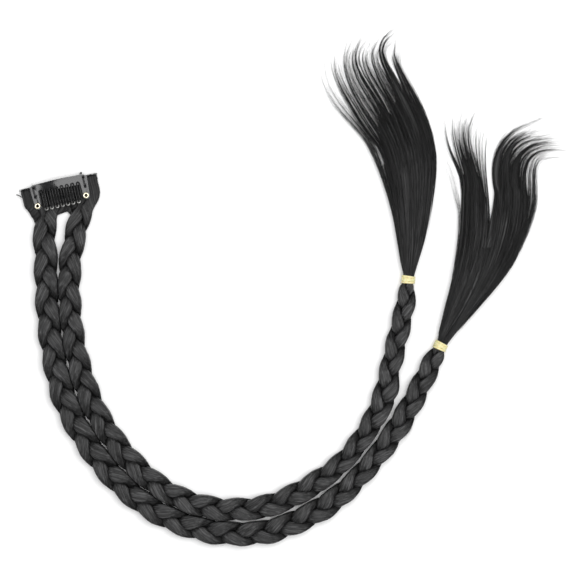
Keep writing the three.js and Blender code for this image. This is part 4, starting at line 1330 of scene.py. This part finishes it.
def stitches():
    """Black thread that sews the clip to the weft through its holes."""
    rng = np.random.default_rng(SEEDS["stitches"])
    top = PLATE_BOTTOM + PLATE_THICK
    lines = []
    low, high = SEWING_HOLE["rows"]
    near, far = low + SEWING_HOLE["height"] - HOLE_MARGIN, high + HOLE_MARGIN
    for side in (-1, 1):
        for n in range(STITCHES):
            x = side * SEWING_HOLE["x"] + STITCH_PITCH * (n - STITCHES // 2)
            lean = rng.uniform(-0.25, 0.25)
            lines.append([(x, near - 0.3, SEWN_Z), (x, near, top + 0.05),
                          (x + 0.3 * lean, mix(near, far, 0.3), top + 0.3),
                          (x + 0.7 * lean, mix(near, far, 0.7), top + 0.3),
                          (x + lean, far, top + 0.05), (x + lean, far + 0.3, SEWN_Z)])
            for y in (low + HOLE_MARGIN, high + SEWING_HOLE["height"] - HOLE_MARGIN):
                lines.append([(x - 0.3, y - 0.4, SEWN_Z), (x - 0.1, y - 0.2, top - 0.1),
                              (x + 0.1, y + 0.1, top - 0.1), (x + 0.3, y + 0.4, SEWN_Z)])
    lines.append([(14.6, 4.4, 4.6), (15.1, 4.9, 5.4), (15.7, 5.3, 5.9), (16.2, 4.9, 6.1), (15.8, 4.3, 5.9),
                  (15.2, 4.7, 5.2)])
    meshes = []
    for n, line in enumerate(lines):
        left = n / len(lines)
        knot = n == len(lines) - 1
        path = on_head(curve_at(line, np.linspace(0, 1, 24)))
        radius = KNOT_RADIUS if knot else STITCH_RADIUS
        meshes.append(wire(path, radius, 8, (left, 0, left + 0.9 / len(lines), 1)))
    piece("clip_stitches", meshes, black_thread, "hair_piece", "weft_hair")


def thread_end():
    """Cut end of the weft's sewing thread, standing out at the left."""
    line = [(-22.6, -2.6, 3.0), (-23.8, -2.4, 3.3), (-25.2, -1.6, 3.1), (-26.4, -0.4, 2.7), (-28, 0.6, 2.4)]
    mesh = wire(on_head(curve_at(line, np.linspace(0, 1, 26))), THREAD_RADIUS, 9)
    piece("thread_end", [mesh], black_thread, "hair_piece", "weft_hair")


weft()
fall()
clip_plate()
clip_comb()
eyelet("eyelet_left", -1)
eyelet("eyelet_right", 1)
stitches()
thread_end()
for braid in BRAIDS:
    for index in range(STRANDS):
        strand(braid, index)
    band(braid)
    tail(braid)


# Floor, light and camera

FRAME_MIDDLE = Vector((0.14784, -0.06656, 0.004))
FRAME_WIDTH = 0.3712
LENS = 120
SENSOR = 36


def floor():
    bm = bmesh.new()
    bmesh.ops.create_grid(bm, x_segments=2, y_segments=2, size=6)
    mesh = made_mesh(bm)
    finish = Finish("white_table")
    whites = [(0.3, (0.9, 0.9, 0.9)), (0.7, (0.915, 0.915, 0.915))]
    finish.colours(finish.noise(finish.in_place(3, 3, 3)), whites)
    finish.set(Roughness=0.7, Specular_IOR_Level=0.2)
    mesh.materials.append(finish.material)
    table = placed("white_table", mesh)


def soft_box(name, place, aim, size, power):
    light = bpy.data.lights.new(name, "AREA")
    light.shape = "RECTANGLE"
    light.size, light.size_y = size
    light.energy = power
    lamp = placed(name, light)
    lamp.location = place
    lamp.rotation_euler = (Vector(aim) - Vector(place)).to_track_quat("-Z", "Y").to_euler()


def studio():
    scene = bpy.context.scene
    scene.world = bpy.data.worlds.new("pale_room")
    scene.world.use_nodes = True
    background = scene.world.node_tree.nodes["Background"]
    background.inputs["Color"].default_value = (1, 1, 1, 1)
    background.inputs["Strength"].default_value = 0.26
    soft_box("overhead", (0.35, 0.05, 1.3), (0.2, -0.05, 0), (1.3, 1.2), 22.5)
    soft_box("side_fill", (-1.1, -0.7, 0.9), (0.1, -0.1, 0), (0.8, 0.8), 3)
    scene.view_settings.view_transform = "Standard"


def camera():
    data = bpy.data.cameras.new("above")
    data.lens = LENS
    data.sensor_width = SENSOR
    eye = placed("above", data)
    eye.location = FRAME_MIDDLE + Vector((0, 0, FRAME_WIDTH * LENS / SENSOR))
    bpy.context.scene.camera = eye


floor()
studio()
camera()
